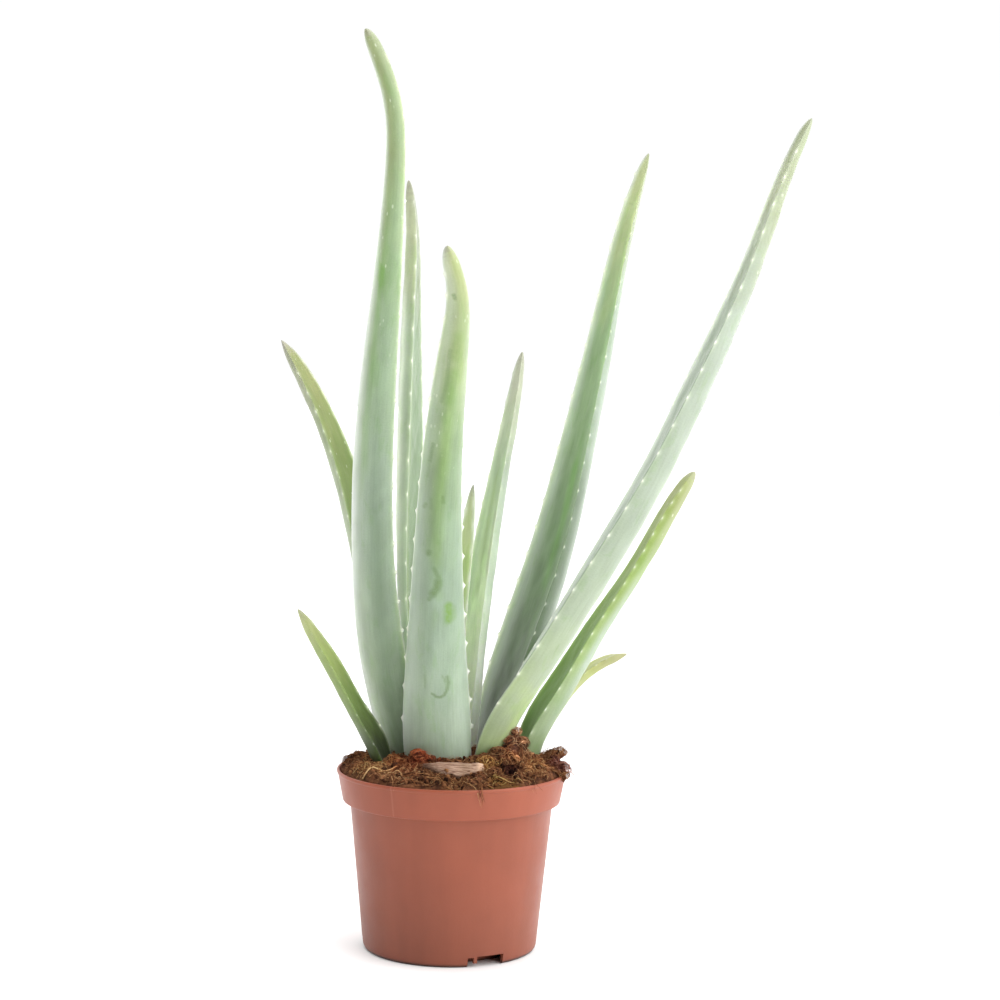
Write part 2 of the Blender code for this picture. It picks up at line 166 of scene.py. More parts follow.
# Strands that hang over the rim: from, to and how many, and how widely their ends spread
RIM_STRANDS = (
    ((14, -54, 97), (17, -61.5, 88), 14),
    ((-27, -48, 97), (-28, -55, 94.5), 6),
    ((55, -10, 98), (63, -10, 94), 16),
    ((53, -20, 98), (60, -23, 92), 8),
    ((40, -40, 96), (44, -44, 91), 5),
)
RIM_SPREAD = ((1, 1, 0.5), (1.2, 0.4, 1.5))

# Patches of coarse strands: x, y, reach and how many
COARSE_PATCHES = (
    (-44, -18, 5, 22), (-30, -40, 7, 22), (-8, -51, 9, 26), (28, -48, 7, 14), (50, -16, 5, 12),
)

# Bark chip
CHIP_LENGTH = 30
CHIP_WIDTH = 9
CHIP_THICKNESS = 2.2
CHIP_CENTRE = (1.5, -39.5, 100.4)
CHIP_TURN = 4
CHIP_TILT = 32
CHIP_CUTS = 40

# Leaf meshes: the rings' spacing and the points across one face, for the leaf with the
# marks and for the others, the rings' distances from each tooth and their least gap
FINE_MESH = (0.9, 56)
PLAIN_MESH = (2, 28)
TOOTH_RINGS = (-2.2, -1.7, -1.25, -0.85, -0.5, -0.2, 0, 0.25, 0.6, 1, 1.5, 2)
RING_GAP = 0.12

# Leaf forms: margins and teeth, with the height from which a leaf is out of the soil
DEFAULT_GROUND = 104
TOOTH_START = 9
TOOTH_HEIGHT = 1.6
TOOTH_PITCH = 17
TOOTH_CLOSING = 0.25
TOOTH_HALF_BASE = 2
TOOTH_DEPTH = 1.5
TOOTH_SHRINK = 0.45
TOOTH_LEAN = 0.45
BEAD_LENGTH = 2.6
SCALLOP = 0.25
MARGIN_OFFSET = 4
MARGIN_FADE = 25
TIP_ROUND = 10
TIP_BARE = 9
HOLLOW = 0.08
RIPPLE_HEIGHT = 0.14
RIPPLE_WAVES = (34, 23, 13, 7)
SCAR_LIFT = 0.12

# Leaf colours, linear, from the foot of a leaf to its tip
STOPS = (0.05, 0.35, 0.7, 0.93)
PALE = (0.68, 0.73, 0.67)
CREAM = (0.88, 0.91, 0.76)
DRY_TIP = (0.3, 0.28, 0.23)
RUBBED_TINT = (0.84, 0.95, 0.74)
SCAR_COLOUR = (0.125, 0.205, 0.07)
GREEN_COLOUR = (0.15, 0.28, 0.05)

# Rows are x, y, z, width and the compass angle that the inner face looks to (0 is +X, 90
# is +Y), from the buried end to the tip. thick is the thickness as a share of the width
# at both ends. start and pitch place the teeth, from the height called ground. tooth is
# their height, edge the strength of the pale margin line and bead that of the spots at
# the teeth, each for the + and the - margin. tip is the length and strength of the dry
# tip, flecks the strength of a young leaf's spots, bloom how waxy the leaf looks, and
# marks gives it the marks below. outer and inner are the faces' colours at STOPS, one for
# both if inner is left out; these hold painted shade on shaded feet and painted light on
# feet that lie in deep shade. pale is how far a face fades toward its + and - margin,
# partly the paler margin and partly a painted rim light.
# Bands are (across, half width, along, half length, tint, strength), with across from -1
# to 1 and along from 0 to 1; most paint shade where leaves shade one another, some paint
# light along lit and glowing strips, and some only shift the colour.
LEAVES = {}
LEAVES["leaf_front"] = dict(
    rows=((-6, -10, 80, 32, 90), (-7.5, -13, 106, 35.5, 90), (-8.5, -24, 150, 32, 90),
        (-8, -33, 210, 25, 92), (-5.5, -42, 262, 20.5, 100), (0, -51, 315, 15.5, 110),
        (1, -57, 344, 11.2, 115), (-5, -62, 365, 7.6, 118)),
    thick=(0.32, 0.55), start=15, tooth=(0.8, 1.25), edge=(0.6, 0.6), bead=(0.8, 0.9),
    tip=(7, 0.5), flecks=0.3, marks=True,
    outer=((0.33, 0.415, 0.305), (0.245, 0.33, 0.235), (0.265, 0.36, 0.185), (0.36, 0.405, 0.19)),
    inner=((0.24, 0.36, 0.22), (0.24, 0.38, 0.22), (0.28, 0.4, 0.2), (0.38, 0.4, 0.18)),
    pale=dict(outer=(0.35, 0.12)),
    bands=dict(outer=((0.05, 0.5, 0.54, 0.28, (0.91, 0.98, 0.68), 0.8),
        (0.5, 0.5, 0.38, 0.55, (0.78, 0.81, 0.74), 0.9),
        (-0.55, 0.45, 0.4, 0.4, (0.86, 0.89, 0.84), 0.9),
        (0.15, 1.05, 0.56, 0.13, (0.84, 0.88, 0.78), 0.9),
        (-0.45, 1.1, 0.93, 0.16, (0.9, 0.91, 0.84), 0.9))))
LEAVES["leaf_tall_left"] = dict(
    rows=((-25, 8, 80, 27, 50), (-30, 5, 106, 29, 52), (-38.6, -8.3, 150, 29, 58),
        (-43.7, -21.1, 205, 25, 62), (-43.5, -31, 262, 22.5, 64), (-38, -41, 330, 17, 66),
        (-32.5, -49, 400, 11, 70), (-34, -53, 436, 9.5, 70), (-40, -55, 455, 8.5, 70),
        (-46.5, -58, 470, 6.5, 70)),
    thick=(0.32, 0.55), start=5.5, tooth=(0.8, 1.2), edge=(0.35, 0.1), bead=(0.6, 0.3),
    tip=(7, 0.5), flecks=0.3,
    outer=((0.37, 0.45, 0.32), (0.345, 0.415, 0.325), (0.31, 0.41, 0.235), (0.275, 0.325, 0.15)),
    inner=((0.22, 0.34, 0.2), (0.22, 0.36, 0.2), (0.26, 0.38, 0.18), (0.36, 0.38, 0.16)),
    pale=dict(outer=(0.6, 0.1)),
    # The first and last bands are painted shade: the right of the face darkened where the leaves
    # in front shade it
    bands=dict(outer=((-0.5, 0.8, 0.35, 0.85, (0.68, 0.75, 0.68), 1),
        (0.5, 0.35, 0.46, 0.25, (1.15, 1.1, 1.16), 0.9),
        (0, 0.3, 0.6, 0.25, (0.8, 0.92, 0.68), 0.8),
        (0.05, 0.6, 0.665, 0.06, (0.74, 0.9, 0.54), 0.8),
        # Painted shadow of leaf_low_left on this leaf's foot
        (0.95, 0.6, 0.06, 0.09, (0.35, 0.38, 0.32), 1),
        (-0.62, 0.6, 0.2, 0.25, (0.63, 0.67, 0.6), 0.9))))
LEAVES["leaf_upright_back"] = dict(
    rows=((-15, 22, 80, 20, -38), (-16.5, 22, 106, 20.5, -35), (-22.5, 24, 155, 21.5, -31),
        (-26.4, 27, 223, 21, -25), (-26.7, 28, 290, 17, -18), (-26, 30, 345, 12.5, -12),
        (-26, 31, 378, 9, -6), (-28, 31, 402, 5.4, 0)),
    thick=(0.4, 0.7), start=23, pitch=20.5, tooth=(1.2, 1), edge=(0.12, 0.08), bead=(0.32, 0.32),
    tip=(14, 0.6),
    outer=((0.34, 0.42, 0.3), (0.42, 0.49, 0.37), (0.42, 0.5, 0.37), (0.44, 0.48, 0.31)),
    inner=((0.26, 0.34, 0.2), (0.18, 0.26, 0.14), (0.17, 0.25, 0.13), (0.16, 0.2, 0.08)),
    pale=dict(inner=(0.1, 0)),
    bands=dict(inner=((-0.85, 0.3, 0.35, 0.45, (1.1, 1.1, 0.75), 0.9),),
        outer=((-0.9, 0.3, 0.65, 0.3, (0.8, 0.82, 0.78), 0.9),
        # Painted light: the strip along the outer face's silhouette made much paler
        (-0.58, 0.42, 0.38, 0.5, (1.9, 1.72, 1.95), 1),
        (0.75, 0.9, 0.5, 2, (0.75, 0.78, 0.72), 1))))
LEAVES["leaf_heart"] = dict(
    rows=((-1, 4, 82, 9, -120), (0, 4, 108, 9.5, -120), (4, 6, 182, 9.5, -120),
        (7.5, 10, 223, 7, -120), (9, 11, 243, 3, -120)),
    thick=(0.4, 0.6), tooth=(0.8, 0.8), edge=(0.4, 0.4), bead=(0.8, 0.8), tip=(9, 0.6), flecks=0.5,
    outer=((0.42, 0.52, 0.34), (0.44, 0.53, 0.32), (0.5, 0.59, 0.28), (0.5, 0.54, 0.33)))
LEAVES["leaf_inner_right"] = dict(
    rows=((6.5, 19, 80, 15, 214), (8, 19, 106, 17.8, 215), (10.8, 20, 150, 18.8, 216),
        (16.5, 24, 200, 17.2, 216), (25, 30, 255, 12, 214), (30.5, 34, 287, 9.2, 213),
        (33.8, 37, 312.5, 4.2, 213)),
    thick=(0.51, 0.63), tooth=(0.5, 0.7), edge=(0.03, 0.1), bead=(0.1, 0.3), tip=(12, 0.5),
    # The feet of both faces are nearly white: painted light on a foot that lies in the shade of
    # the leaves around it
    outer=((1, 1, 0.92), (0.64, 0.75, 0.585), (0.395, 0.46, 0.365), (0.42, 0.45, 0.32)),
    inner=((0.98, 1, 0.86), (0.74, 0.88, 0.58), (0.38, 0.49, 0.3), (0.44, 0.46, 0.33)),
    pale=dict(inner=(0, 0.4)),
    bands=dict(inner=((0.15, 0.6, 0.56, 0.22, (0.7, 0.75, 0.58), 0.9),
        (-0.65, 0.5, 0.45, 0.22, (0.76, 0.8, 0.75), 0.9),
        (0.85, 0.3, 0.52, 0.14, (0.78, 0.74, 0.76), 0.9),
        (0, 2, -0.02, 0.07, (0.5, 0.56, 0.45), 1)),
        outer=((-0.5, 1.05, 0.1, 1.6, (0.42, 0.47, 0.43), 1),)))
LEAVES["leaf_broad_right"] = dict(
    rows=((18, 30, 80, 24, 206), (22.2, 28, 106, 26.5, 207), (36, 29, 150, 31, 210),
        (55, 36, 210, 27.7, 217), (67.3, 44, 265, 22.5, 219), (78, 54, 319, 16.6, 222),
        (86.2, 61, 363, 12.3, 227), (93.7, 66, 395, 9, 230), (101, 70, 421, 3.8, 233)),
    thick=(0.52, 0.64), tooth=(0.8, 1.5), edge=(0, 0.3), bead=(0, 0.4), tip=(6, 0.4), bloom=0.5,
    outer=((0.22, 0.28, 0.21), (0.3, 0.36, 0.29), (0.29, 0.36, 0.27), (0.36, 0.4, 0.26)),
    # The inner face is near black at the foot: painted shade
    inner=((0.065, 0.1, 0.045), (0.16, 0.25, 0.12), (0.265, 0.4, 0.19), (0.46, 0.52, 0.26)),
    pale=dict(inner=(0, 0.6)),
    # Painted light on the inner face: a glowing green band and a paler strip toward the + margin
    bands=dict(inner=((0.45, 0.4, 0.36, 0.2, (0.84, 1.1, 0.58), 0.9),
        (0.9, 0.35, 0.65, 0.45, (1.22, 1.17, 1.3), 0.9)),
        # Painted shade: the outer face by the + margin darkened to the shaded inner face's tone
        outer=((1, 0.4, 0.2, 0.36, (0.5, 0.57, 0.46), 1),)))
LEAVES["leaf_long_right"] = dict(
    rows=((18.5, 2, 80, 20, 158), (22.9, -2, 108, 25.5, 162), (46.3, -12, 154, 26.8, 173),
        (71, -18, 196, 26.3, 177), (100, -25, 248, 22.8, 181), (124.1, -31, 300, 18.8, 187),
        (149, -38, 361, 12.9, 191), (165.5, -44, 410, 8.3, 197), (174.4, -46, 431, 5, 205)),
    thick=(0.49, 0.69), ground=110, start=19.5, pitch=18.3, tooth=(1, 1.2), edge=(0.1, 0.1),
    bead=(0.25, 0.3), tip=(4, 0.3), flecks=0.4,
    outer=((0.33, 0.4, 0.25), (0.315, 0.375, 0.285), (0.355, 0.41, 0.33), (0.34, 0.38, 0.24)),
    inner=((0.16, 0.24, 0.13), (0.16, 0.24, 0.14), (0.18, 0.25, 0.15), (0.3, 0.34, 0.18)),
    pale=dict(inner=(0, 0.6)),
    bands=dict(outer=((0, 2, -0.02, 0.14, (1.1, 1.16, 0.82), 1),)))
LEAVES["leaf_back_left"] = dict(
    rows=((-31, 35, 80, 14, -50), (-31.5, 34, 106, 16, -46), (-40.6, 31, 150, 18.2, -42),
        (-51.3, 32, 205, 18.4, -39), (-62.9, 38, 248, 16.2, -37), (-78, 45, 284, 12.3, -35),
        (-92, 51, 309, 6.8, -34), (-96.5, 53, 316.5, 3, -34)),
    thick=(0.35, 0.69), pitch=14.2, tooth=(0.7, 0.6), edge=(0.3, 0.05), bead=(0.3, 0.15),
    tip=(13, 0.8), flecks=0.4, bloom=0.35,
    outer=((0.34, 0.4, 0.3), (0.32, 0.38, 0.26), (0.28, 0.33, 0.19), (0.27, 0.29, 0.18)),
    inner=((0.13, 0.2, 0.06), (0.15, 0.22, 0.06), (0.175, 0.235, 0.06), (0.25, 0.27, 0.09)))
LEAVES["leaf_low_left"] = dict(
    rows=((-34, -10, 82, 13, -15), (-39, -11, 105, 16, -15), (-49.5, -15, 125, 13, -15),
        (-61, -19, 147, 11.4, -15), (-72.5, -23, 167, 7.8, -15), (-79.5, -25, 180, 3.6, -15)),
    thick=(0.5, 0.7), pitch=11, tooth=(0.9, 0.4), edge=(0.1, 0), bead=(0.2, 0), tip=(8, 0.5),
    bloom=0.15,
    # Both faces are almost black at the foot: painted shade
    outer=((0.05, 0.08, 0.02), (0.17, 0.24, 0.07), (0.25, 0.32, 0.1), (0.42, 0.46, 0.2)),
    inner=((0.02, 0.03, 0.008), (0.12, 0.18, 0.04), (0.25, 0.31, 0.09), (0.3, 0.32, 0.13)))
LEAVES["offset_leaf_long"] = dict(
    rows=((38, 6, 80, 16, 186), (41.4, 6, 106, 22.3, 189), (57.2, 7, 136, 21.2, 194),
        (75.4, 10, 167, 16.6, 194), (95.7, 13, 199, 13.5, 191), (113.6, 16, 231, 12, 191),
        (125.6, 18, 251, 7.4, 196)),
    thick=(0.49, 0.67), ground=108, start=5, pitch=12, tooth=(0.7, 0.4), edge=(0, 0),
    bead=(0.15, 0.1), tip=(8, 0.5), flecks=0.5, bloom=0.1,
    outer=((0.2, 0.27, 0.13), (0.35, 0.42, 0.33), (0.305, 0.38, 0.18), (0.33, 0.36, 0.18)),
    inner=((0.34, 0.5, 0.2), (0.2, 0.33, 0.07), (0.2, 0.28, 0.04), (0.28, 0.32, 0.09)),
    bands=dict(outer=((1, 0.35, 0.6, 0.6, (0.7, 0.8, 0.34), 1),),
        inner=((0.9, 0.3, 0.65, 0.5, (1.3, 1.3, 0.7), 0.8),)))
LEAVES["offset_leaf_short"] = dict(
    rows=((42, 20, 80, 8, 195), (46.5, 20, 106, 8.6, 195), (57, 23, 125, 9.2, 195),
        (70, 27, 140.5, 8.6, 195), (86, 31, 149.5, 7, 195), (92.5, 33, 151.5, 4, 195)),
    thick=(0.45, 0.65), pitch=9, tooth=(0.5, 0.3), edge=(0, 0), bead=(0, 0), tip=(4, 0.3),
    bloom=0.2,
    outer=((0.32, 0.35, 0.22), (0.38, 0.41, 0.22), (0.34, 0.37, 0.12), (0.33, 0.33, 0.15)),
    inner=((0.32, 0.35, 0.22), (0.38, 0.41, 0.2), (0.36, 0.39, 0.11), (0.35, 0.35, 0.15)))

# Marks on the front leaf: strokes of (distance up from the buried end, across) points,
# each with its half width in millimetres and its strength
SCARS = (
    (((126, 0.14), (121, -0.06), (117, -0.04), (113, 0.1), (110, 0.28)), 1, 0.6),
    (((119, -0.03), (116, 0), (113, 0.14)), 1.9, 0.85),
    (((134.3, 0.38), (133.6, 0.39)), 1.3, 0.75),
    (((70.5, 0.36), (66, 0.34), (63.5, 0.32)), 0.5, 0.35),
    (((60.5, 0.1), (58.9, -0.02), (58.5, -0.14), (59.6, -0.26), (62.5, -0.36), (66, -0.4),
      (69.5, -0.37)), 0.65, 0.75), (((70, -0.22), (67, -0.3)), 0.5, 0.4),
    (((158.8, 0.66), (157.2, 0.72)), 0.9, 0.5), (((163.5, -0.05), (160.5, -0.09)), 0.8, 0.6),
    (((162, 0.45), (157, 0.42)), 0.8, 0.35), (((190, 0.62), (181, 0.66)), 0.8, 0.55),
    (((181, 0.66), (173, 0.68)), 0.6, 0.3),
    (((238, 0.48), (228, 0.42), (222, 0.38), (212, 0.5)), 0.8, 0.35),
    (((266.5, 0.62), (264.5, 0.54)), 0.8, 0.6),
)
GREEN_MARKS = (
    (((106.5, -0.44), (102.7, -0.46), (99.5, -0.46)), 1.9, 0.95),
    (((104, -0.47), (101, -0.48)), 2.8, 0.6),
    (((181, 0.1), (160, 0.12), (140, 0.06), (118, -0.05), (112, -0.1)), 2.6, 0.14),
    (((226, 0.16), (214, 0.2)), 3.2, 0.4), (((245, 0.06), (236, 0.12)), 3, 0.35),
)


# Meshes
def add_object(name, data):
    obj = bpy.data.objects.new(name, data)
    bpy.context.scene.collection.objects.link(obj)
    return obj


def mesh_object(name, points, faces, attributes=None, edges=()):
    """An object from points in millimetres, with one number at each point per attribute."""
    mesh = bpy.data.meshes.new(name)
    mesh.from_pydata((np.asarray(points, float) * MM).tolist(), edges, faces)
    for key, values in (attributes or {}).items():
        layer = mesh.attributes.new(key, "FLOAT", "POINT")
        layer.data.foreach_set("value", np.asarray(values, np.float32))
    mesh.update()
    return add_object(name, mesh)


def finish_piece(obj, material, node=None):
    """Gives a piece its material, its place on the body and the solid it stands for."""
    obj.data.materials.clear()
    obj.data.materials.append(material)
    obj.data.shade_smooth()
    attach(obj, "root")
    if node:
        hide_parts(node)


def unit(vectors):
    return vectors / np.linalg.norm(vectors, axis=-1, keepdims=True)


def ring_faces(index, flip=False):
    """The quads between each ring of points and the next."""
    low, high = index[:-1], index[1:]
    next_low, next_high = np.roll(low, -1, 1), np.roll(high, -1, 1)
    corners = (low, next_low, next_high, high) if flip else (low, high, next_high, next_low)
    return np.stack(corners, -1).reshape(-1, 4).tolist()


# Materials
class Graph:
    """The nodes of a material or the world, with short calls for those used here."""

    def __init__(self, owner):
        owner.use_nodes = True
        self.owner = owner
        self.tree = owner.node_tree

    def feed(self, socket, value):
        if isinstance(value, bpy.types.NodeSocket):
            self.tree.links.new(value, socket)
        else:
            is_colour = socket.type == "RGBA" and len(value) == 3
            socket.default_value = (*value, 1) if is_colour else value

    def node(self, kind, inputs=None, **settings):
        node = self.tree.nodes.new("ShaderNode" + kind)
        for key, value in settings.items():
            setattr(node, key, value)
        for key, value in (inputs or {}).items():
            self.feed(node.inputs[key], value)
        return node

    def join(self, operation, first, *others):
        for value in others:
            first = self.node("Math", {0: first, 1: value}, operation=operation).outputs[0]
        return first

    def add(self, *values):
        return self.join("ADD", *values)

    def times(self, *values):
        return self.join("MULTIPLY", *values)

    def apart(self, a, b):
        """How far two values are from each other."""
        away = self.join("SUBTRACT", a, b)
        return self.node("Math", {0: away}, operation="ABSOLUTE").outputs[0]

    def attribute(self, name):
        return self.node("Attribute", attribute_name=name).outputs["Fac"]

    def vector(self, x, y, z):
        return self.node("CombineXYZ", {0: x, 1: y, 2: z}).outputs[0]

    def grey(self, tone):
        return self.vector(tone, tone, tone)

    def split(self, vector):
        return self.node("SeparateXYZ", {0: vector}).outputs

    def object_place(self):
        return self.node("TexCoord").outputs["Object"]

    def stretched(self, place, scale):
        return self.node("Mapping", {"Vector": place, "Scale": scale}).outputs[0]

    def noise(self, place, scale, detail=3, roughness=0.5, distortion=0):
        inputs = {"Vector": place, "Scale": scale, "Detail": detail, "Roughness": roughness,
                  "Distortion": distortion}
        return self.node("TexNoise", inputs).outputs["Fac"]

    def step(self, value, low, high, start=0, end=1):
        """A smooth step from start to end as value goes from low to high."""
        return self.node("MapRange", {0: value, 1: low, 2: high, 3: start, 4: end},
                         interpolation_type="SMOOTHSTEP").outputs[0]

    def vary(self, start, end, place, scale, *settings):
        """Noise spread smoothly from start to end."""
        return self.step(self.noise(place, scale, *settings), 0.3, 0.7, start, end)

    def mix(self, factor, a, b, blend="MIX"):
        inputs = {0: factor, 6: a, 7: b}
        return self.node("Mix", inputs, data_type="RGBA", blend_type=blend).outputs[2]

    def tinted(self, colour, tint, where=1):
        """The colour multiplied by the tint."""
        return self.mix(where, colour, tint, "MULTIPLY")

    def ramp(self, value, stops):
        """stops are (place, colour)."""
        node = self.node("ValToRGB", {0: value})
        elements = node.color_ramp.elements
        while len(elements) < len(stops):
            elements.new(0.5)
        for element, (place, colour) in zip(elements, stops):
            element.position = place
            element.color = (*colour, 1)
        return node.outputs[0]

    def bump(self, height, distance):
        return self.node("Bump", {"Height": height, "Distance": distance}).outputs[0]

    def surface(self, **inputs):
        shader = self.tree.nodes["Principled BSDF"]
        for key, value in inputs.items():
            self.feed(shader.inputs[key.replace("_", " ")], value)
        return self.owner


def material_graph(name):
    return Graph(bpy.data.materials.new(name))


def leaf_material(name, leaf):
    g = material_graph(name)
    along = g.attribute("along")
    across = g.attribute("across")
    outer = g.attribute("outer")
    side = g.attribute("side_mm")
    up = g.attribute("up_mm")
    on_face = g.times(outer, 60)
    flat = g.vector(side, up, on_face)
    streaked = g.vector(side, g.times(up, 0.035), on_face)
    cloudy = g.vector(side, g.times(up, 0.3), on_face)

    place = g.add(along, g.vary(-0.05, 0.05, cloudy, 0.12, 2))
    faces = {"outer": outer, "inner": g.join("SUBTRACT", 1, outer)}
    shades = {}
    # Each face's ramp holds painted shade and painted light at the feet; the fade toward PALE is
    # partly the paler margin and partly a painted rim light
    for face in faces:
        shade = g.ramp(place, list(zip(STOPS, leaf.get(face, leaf["outer"]))))
        for sign, strength in zip((1, -1), leaf.get("pale", {}).get(face, (0, 0))):
            if strength:
                toward = g.step(g.times(across, sign), 0.1, 1, 0, strength)
                shade = g.mix(toward, shade, PALE)
        shades[face] = shade
    colour = g.mix(outer, shades["inner"], shades["outer"])
    # Bands: mostly painted shade where leaves shade one another, some painted light along lit and
    # glowing strips
    for face, bands in leaf.get("bands", {}).items():
        for middle, half, centre, reach, tint, strength in bands:
            near = g.step(g.apart(across, middle), 0, half, 1, 0)
            within = g.step(g.apart(place, centre), reach * 0.4, reach, strength, 0)
            colour = g.tinted(colour, tint, g.times(near, within, faces[face]))

    # Rubbed bloom shows greener; veins and mottling run lengthwise
    rubbed = g.step(g.noise(cloudy, 0.22, 4, 0.6, 0.4), 0.52, 0.68, 0, 0.55)
    colour = g.tinted(colour, RUBBED_TINT, rubbed)
    veins = g.vary(-0.04, 0.04, streaked, 1.1, 4, 0.6)
    clouds = g.vary(-0.06, 0.06, cloudy, 0.16, 3, 0.5)
    mottle = g.vary(-0.04, 0.04, flat, 1.4, 4, 0.6)
    colour = g.tinted(colour, g.grey(g.add(veins, clouds, mottle, 1)))
    if "flecks" in leaf:
        squeezed = g.vector(side, g.times(up, 0.4), on_face)
        cells = g.node("TexVoronoi", {"Vector": squeezed, "Scale": 0.42})
        spot = g.times(g.step(cells.outputs["Distance"], 0.1, 0.22, 1, 0),
                       g.step(g.noise(cloudy, 0.35, 2), 0.48, 0.6, 0, leaf["flecks"]),
                       g.step(along, 0.5, 0.7))
        colour = g.mix(spot, colour, CREAM)
    if "marks" in leaf:
        scar = g.times(g.attribute("scar"),
                       g.step(g.noise(flat, 1.2, 4, 0.6), 0.25, 0.6, 0.55, 1))
        green = g.times(g.attribute("green"),
                        g.step(g.noise(flat, 0.35, 3, 0.5), 0.35, 0.6, 0.7, 1))
        colour = g.mix(green, colour, GREEN_COLOUR)
        colour = g.mix(scar, colour, SCAR_COLOUR)

    # Pale beaded margins, cream teeth, dry tip
    colour = g.mix(g.attribute("line"), colour, PALE)
    colour = g.mix(g.attribute("bead"), colour, CREAM)
    colour = g.mix(g.step(g.attribute("tooth"), 0.04, 0.4, 0, 0.95), colour, CREAM)
    from_tip = g.attribute("from_tip")
    dry_length, dryness = leaf["tip"]
    frayed = g.add(from_tip, g.vary(-2.5, 2.5, flat, 0.6, 3))
    colour = g.mix(g.step(frayed, 0, dry_length, dryness, 0), colour, DRY_TIP)

    relief = g.add(g.noise(streaked, 1.6, 4, 0.6), g.times(g.noise(flat, 2.5, 4, 0.6), 0.5))
    return g.surface(
        Base_Color=colour, Roughness=g.vary(0.4, 0.52, cloudy, 0.3, 4, 0.6),
        Normal=g.bump(relief, 0.00012), Subsurface_Weight=g.step(from_tip, 10, 45, 0, 0.35),
        Subsurface_Radius=(0.8, 1, 0.5), Subsurface_Scale=0.008,
        Sheen_Weight=leaf.get("bloom", 0.6), Sheen_Roughness=0.35, Specular_IOR_Level=0.45)


# Leaves
def smooth_curve(rows):
    """A natural cubic curve through the rows, as a function of 0 to 1, and its length."""
    rows = np.array(rows, float)
    knots = np.r_[0, np.cumsum(np.linalg.norm(np.diff(rows[:, :3], axis=0), axis=1))]
    length = knots[-1]
    knots = knots / length
    gap = np.diff(knots)
    count = len(rows)
    left = np.eye(count)
    right = np.zeros_like(rows)
    for i in range(1, count - 1):
        left[i, i - 1:i + 2] = gap[i - 1], 2 * (gap[i - 1] + gap[i]), gap[i]
        slope_after = (rows[i + 1] - rows[i]) / gap[i]
        slope_before = (rows[i] - rows[i - 1]) / gap[i - 1]
        right[i] = 6 * (slope_after - slope_before)
    bend = np.linalg.solve(left, right)

    def at(share):
        share = np.asarray(share, float)
        i = np.clip(np.searchsorted(knots, share) - 1, 0, count - 2)
        after = (share - knots[i])[..., None]
        before = (knots[i + 1] - share)[..., None]
        step = gap[i][..., None]
        curved = (bend[i] * before**3 + bend[i + 1] * after**3) / (6 * step)
        to_next = (rows[i + 1] / step - bend[i + 1] * step / 6) * after
        to_last = (rows[i] / step - bend[i] * step / 6) * before
        return curved + to_next + to_last
    return at, length


def ripple(across, along, draw):
    """A low, seeded unevenness over a face."""
    total = np.zeros(np.broadcast(across, along).shape)
    for wave in RIPPLE_WAVES:
        turn = draw.uniform(-0.5, 0.5)
        phase = draw.uniform(0, FULL_TURN, 2)
        total += wave / RIPPLE_WAVES[0] \
            * np.sin(FULL_TURN * (along + turn * across) / wave + phase[0]) \
            * np.cos(FULL_TURN * across / (wave * 0.6) + phase[1])
    return total * RIPPLE_HEIGHT


def stroke_mask(strokes, up_mm, side_mm, half_width):
    """How strongly soft strokes mark each point, from 0 to 1."""
    mask = np.zeros_like(side_mm)
    for path, radius, strength in strokes:
        ups = np.array([point[0] for point in path])
        sides = np.array([point[1] for point in path]) * np.interp(ups, up_mm[:, 0], half_width)
        for i in range(len(path) - 1):
            run = np.array((ups[i + 1] - ups[i], sides[i + 1] - sides[i]))
            away = np.stack((up_mm - ups[i], side_mm - sides[i]), -1)
            share = np.clip((away @ run) / (run @ run), 0, 1)
            distance = np.linalg.norm(away - share[..., None] * run, axis=-1)
            mask = np.maximum(mask, strength * np.clip(1.5 - distance / radius, 0, 1))
    return mask


def tooth_places(leaf, first, length):
    """Distances up the leaf of the teeth on the + and on the - margin."""
    stations = []
    place = first + leaf.get("start", TOOTH_START)
    while place < length - TIP_BARE:
        stations.append(place)
        place += leaf.get("pitch", TOOTH_PITCH) * (1 - TOOTH_CLOSING * place / length)
    fade = [min(1, (p - first) / MARGIN_FADE, (length - p) / MARGIN_FADE) for p in stations]
    return {sign: np.array([p + sign * MARGIN_OFFSET * f for p, f in zip(stations, fade)])
            for sign in (1, -1)}


def ring_places(teeth, length, spacing):
    """Distances up the leaf of its rings, closer together at the teeth and the tip."""
    places = np.concatenate(
        [np.arange(0, length, spacing), length - np.geomspace(0.05, 8, 12)]
        + [np.add.outer(teeth[sign], TOOTH_RINGS).ravel() for sign in (1, -1)])
    places = np.unique(np.round(places, 2))
    places = places[(places >= 0) & (places < length)]
    return places[np.r_[True, np.diff(places) > RING_GAP]]


def leaf_axes(at, share, compass):
    """Unit vectors up the leaf, out of its inner face and toward its + margin."""
    step = 0.001
    along = unit((at(np.clip(share + step, 0, 1)) - at(np.clip(share - step, 0, 1)))[:, :3])
    angle = np.radians(compass)
    level = np.c_[np.cos(angle), np.sin(angle), np.zeros(len(angle))]
    inward = unit(level - (along * level).sum(1)[:, None] * along)
    return along, inward, np.cross(along, inward)


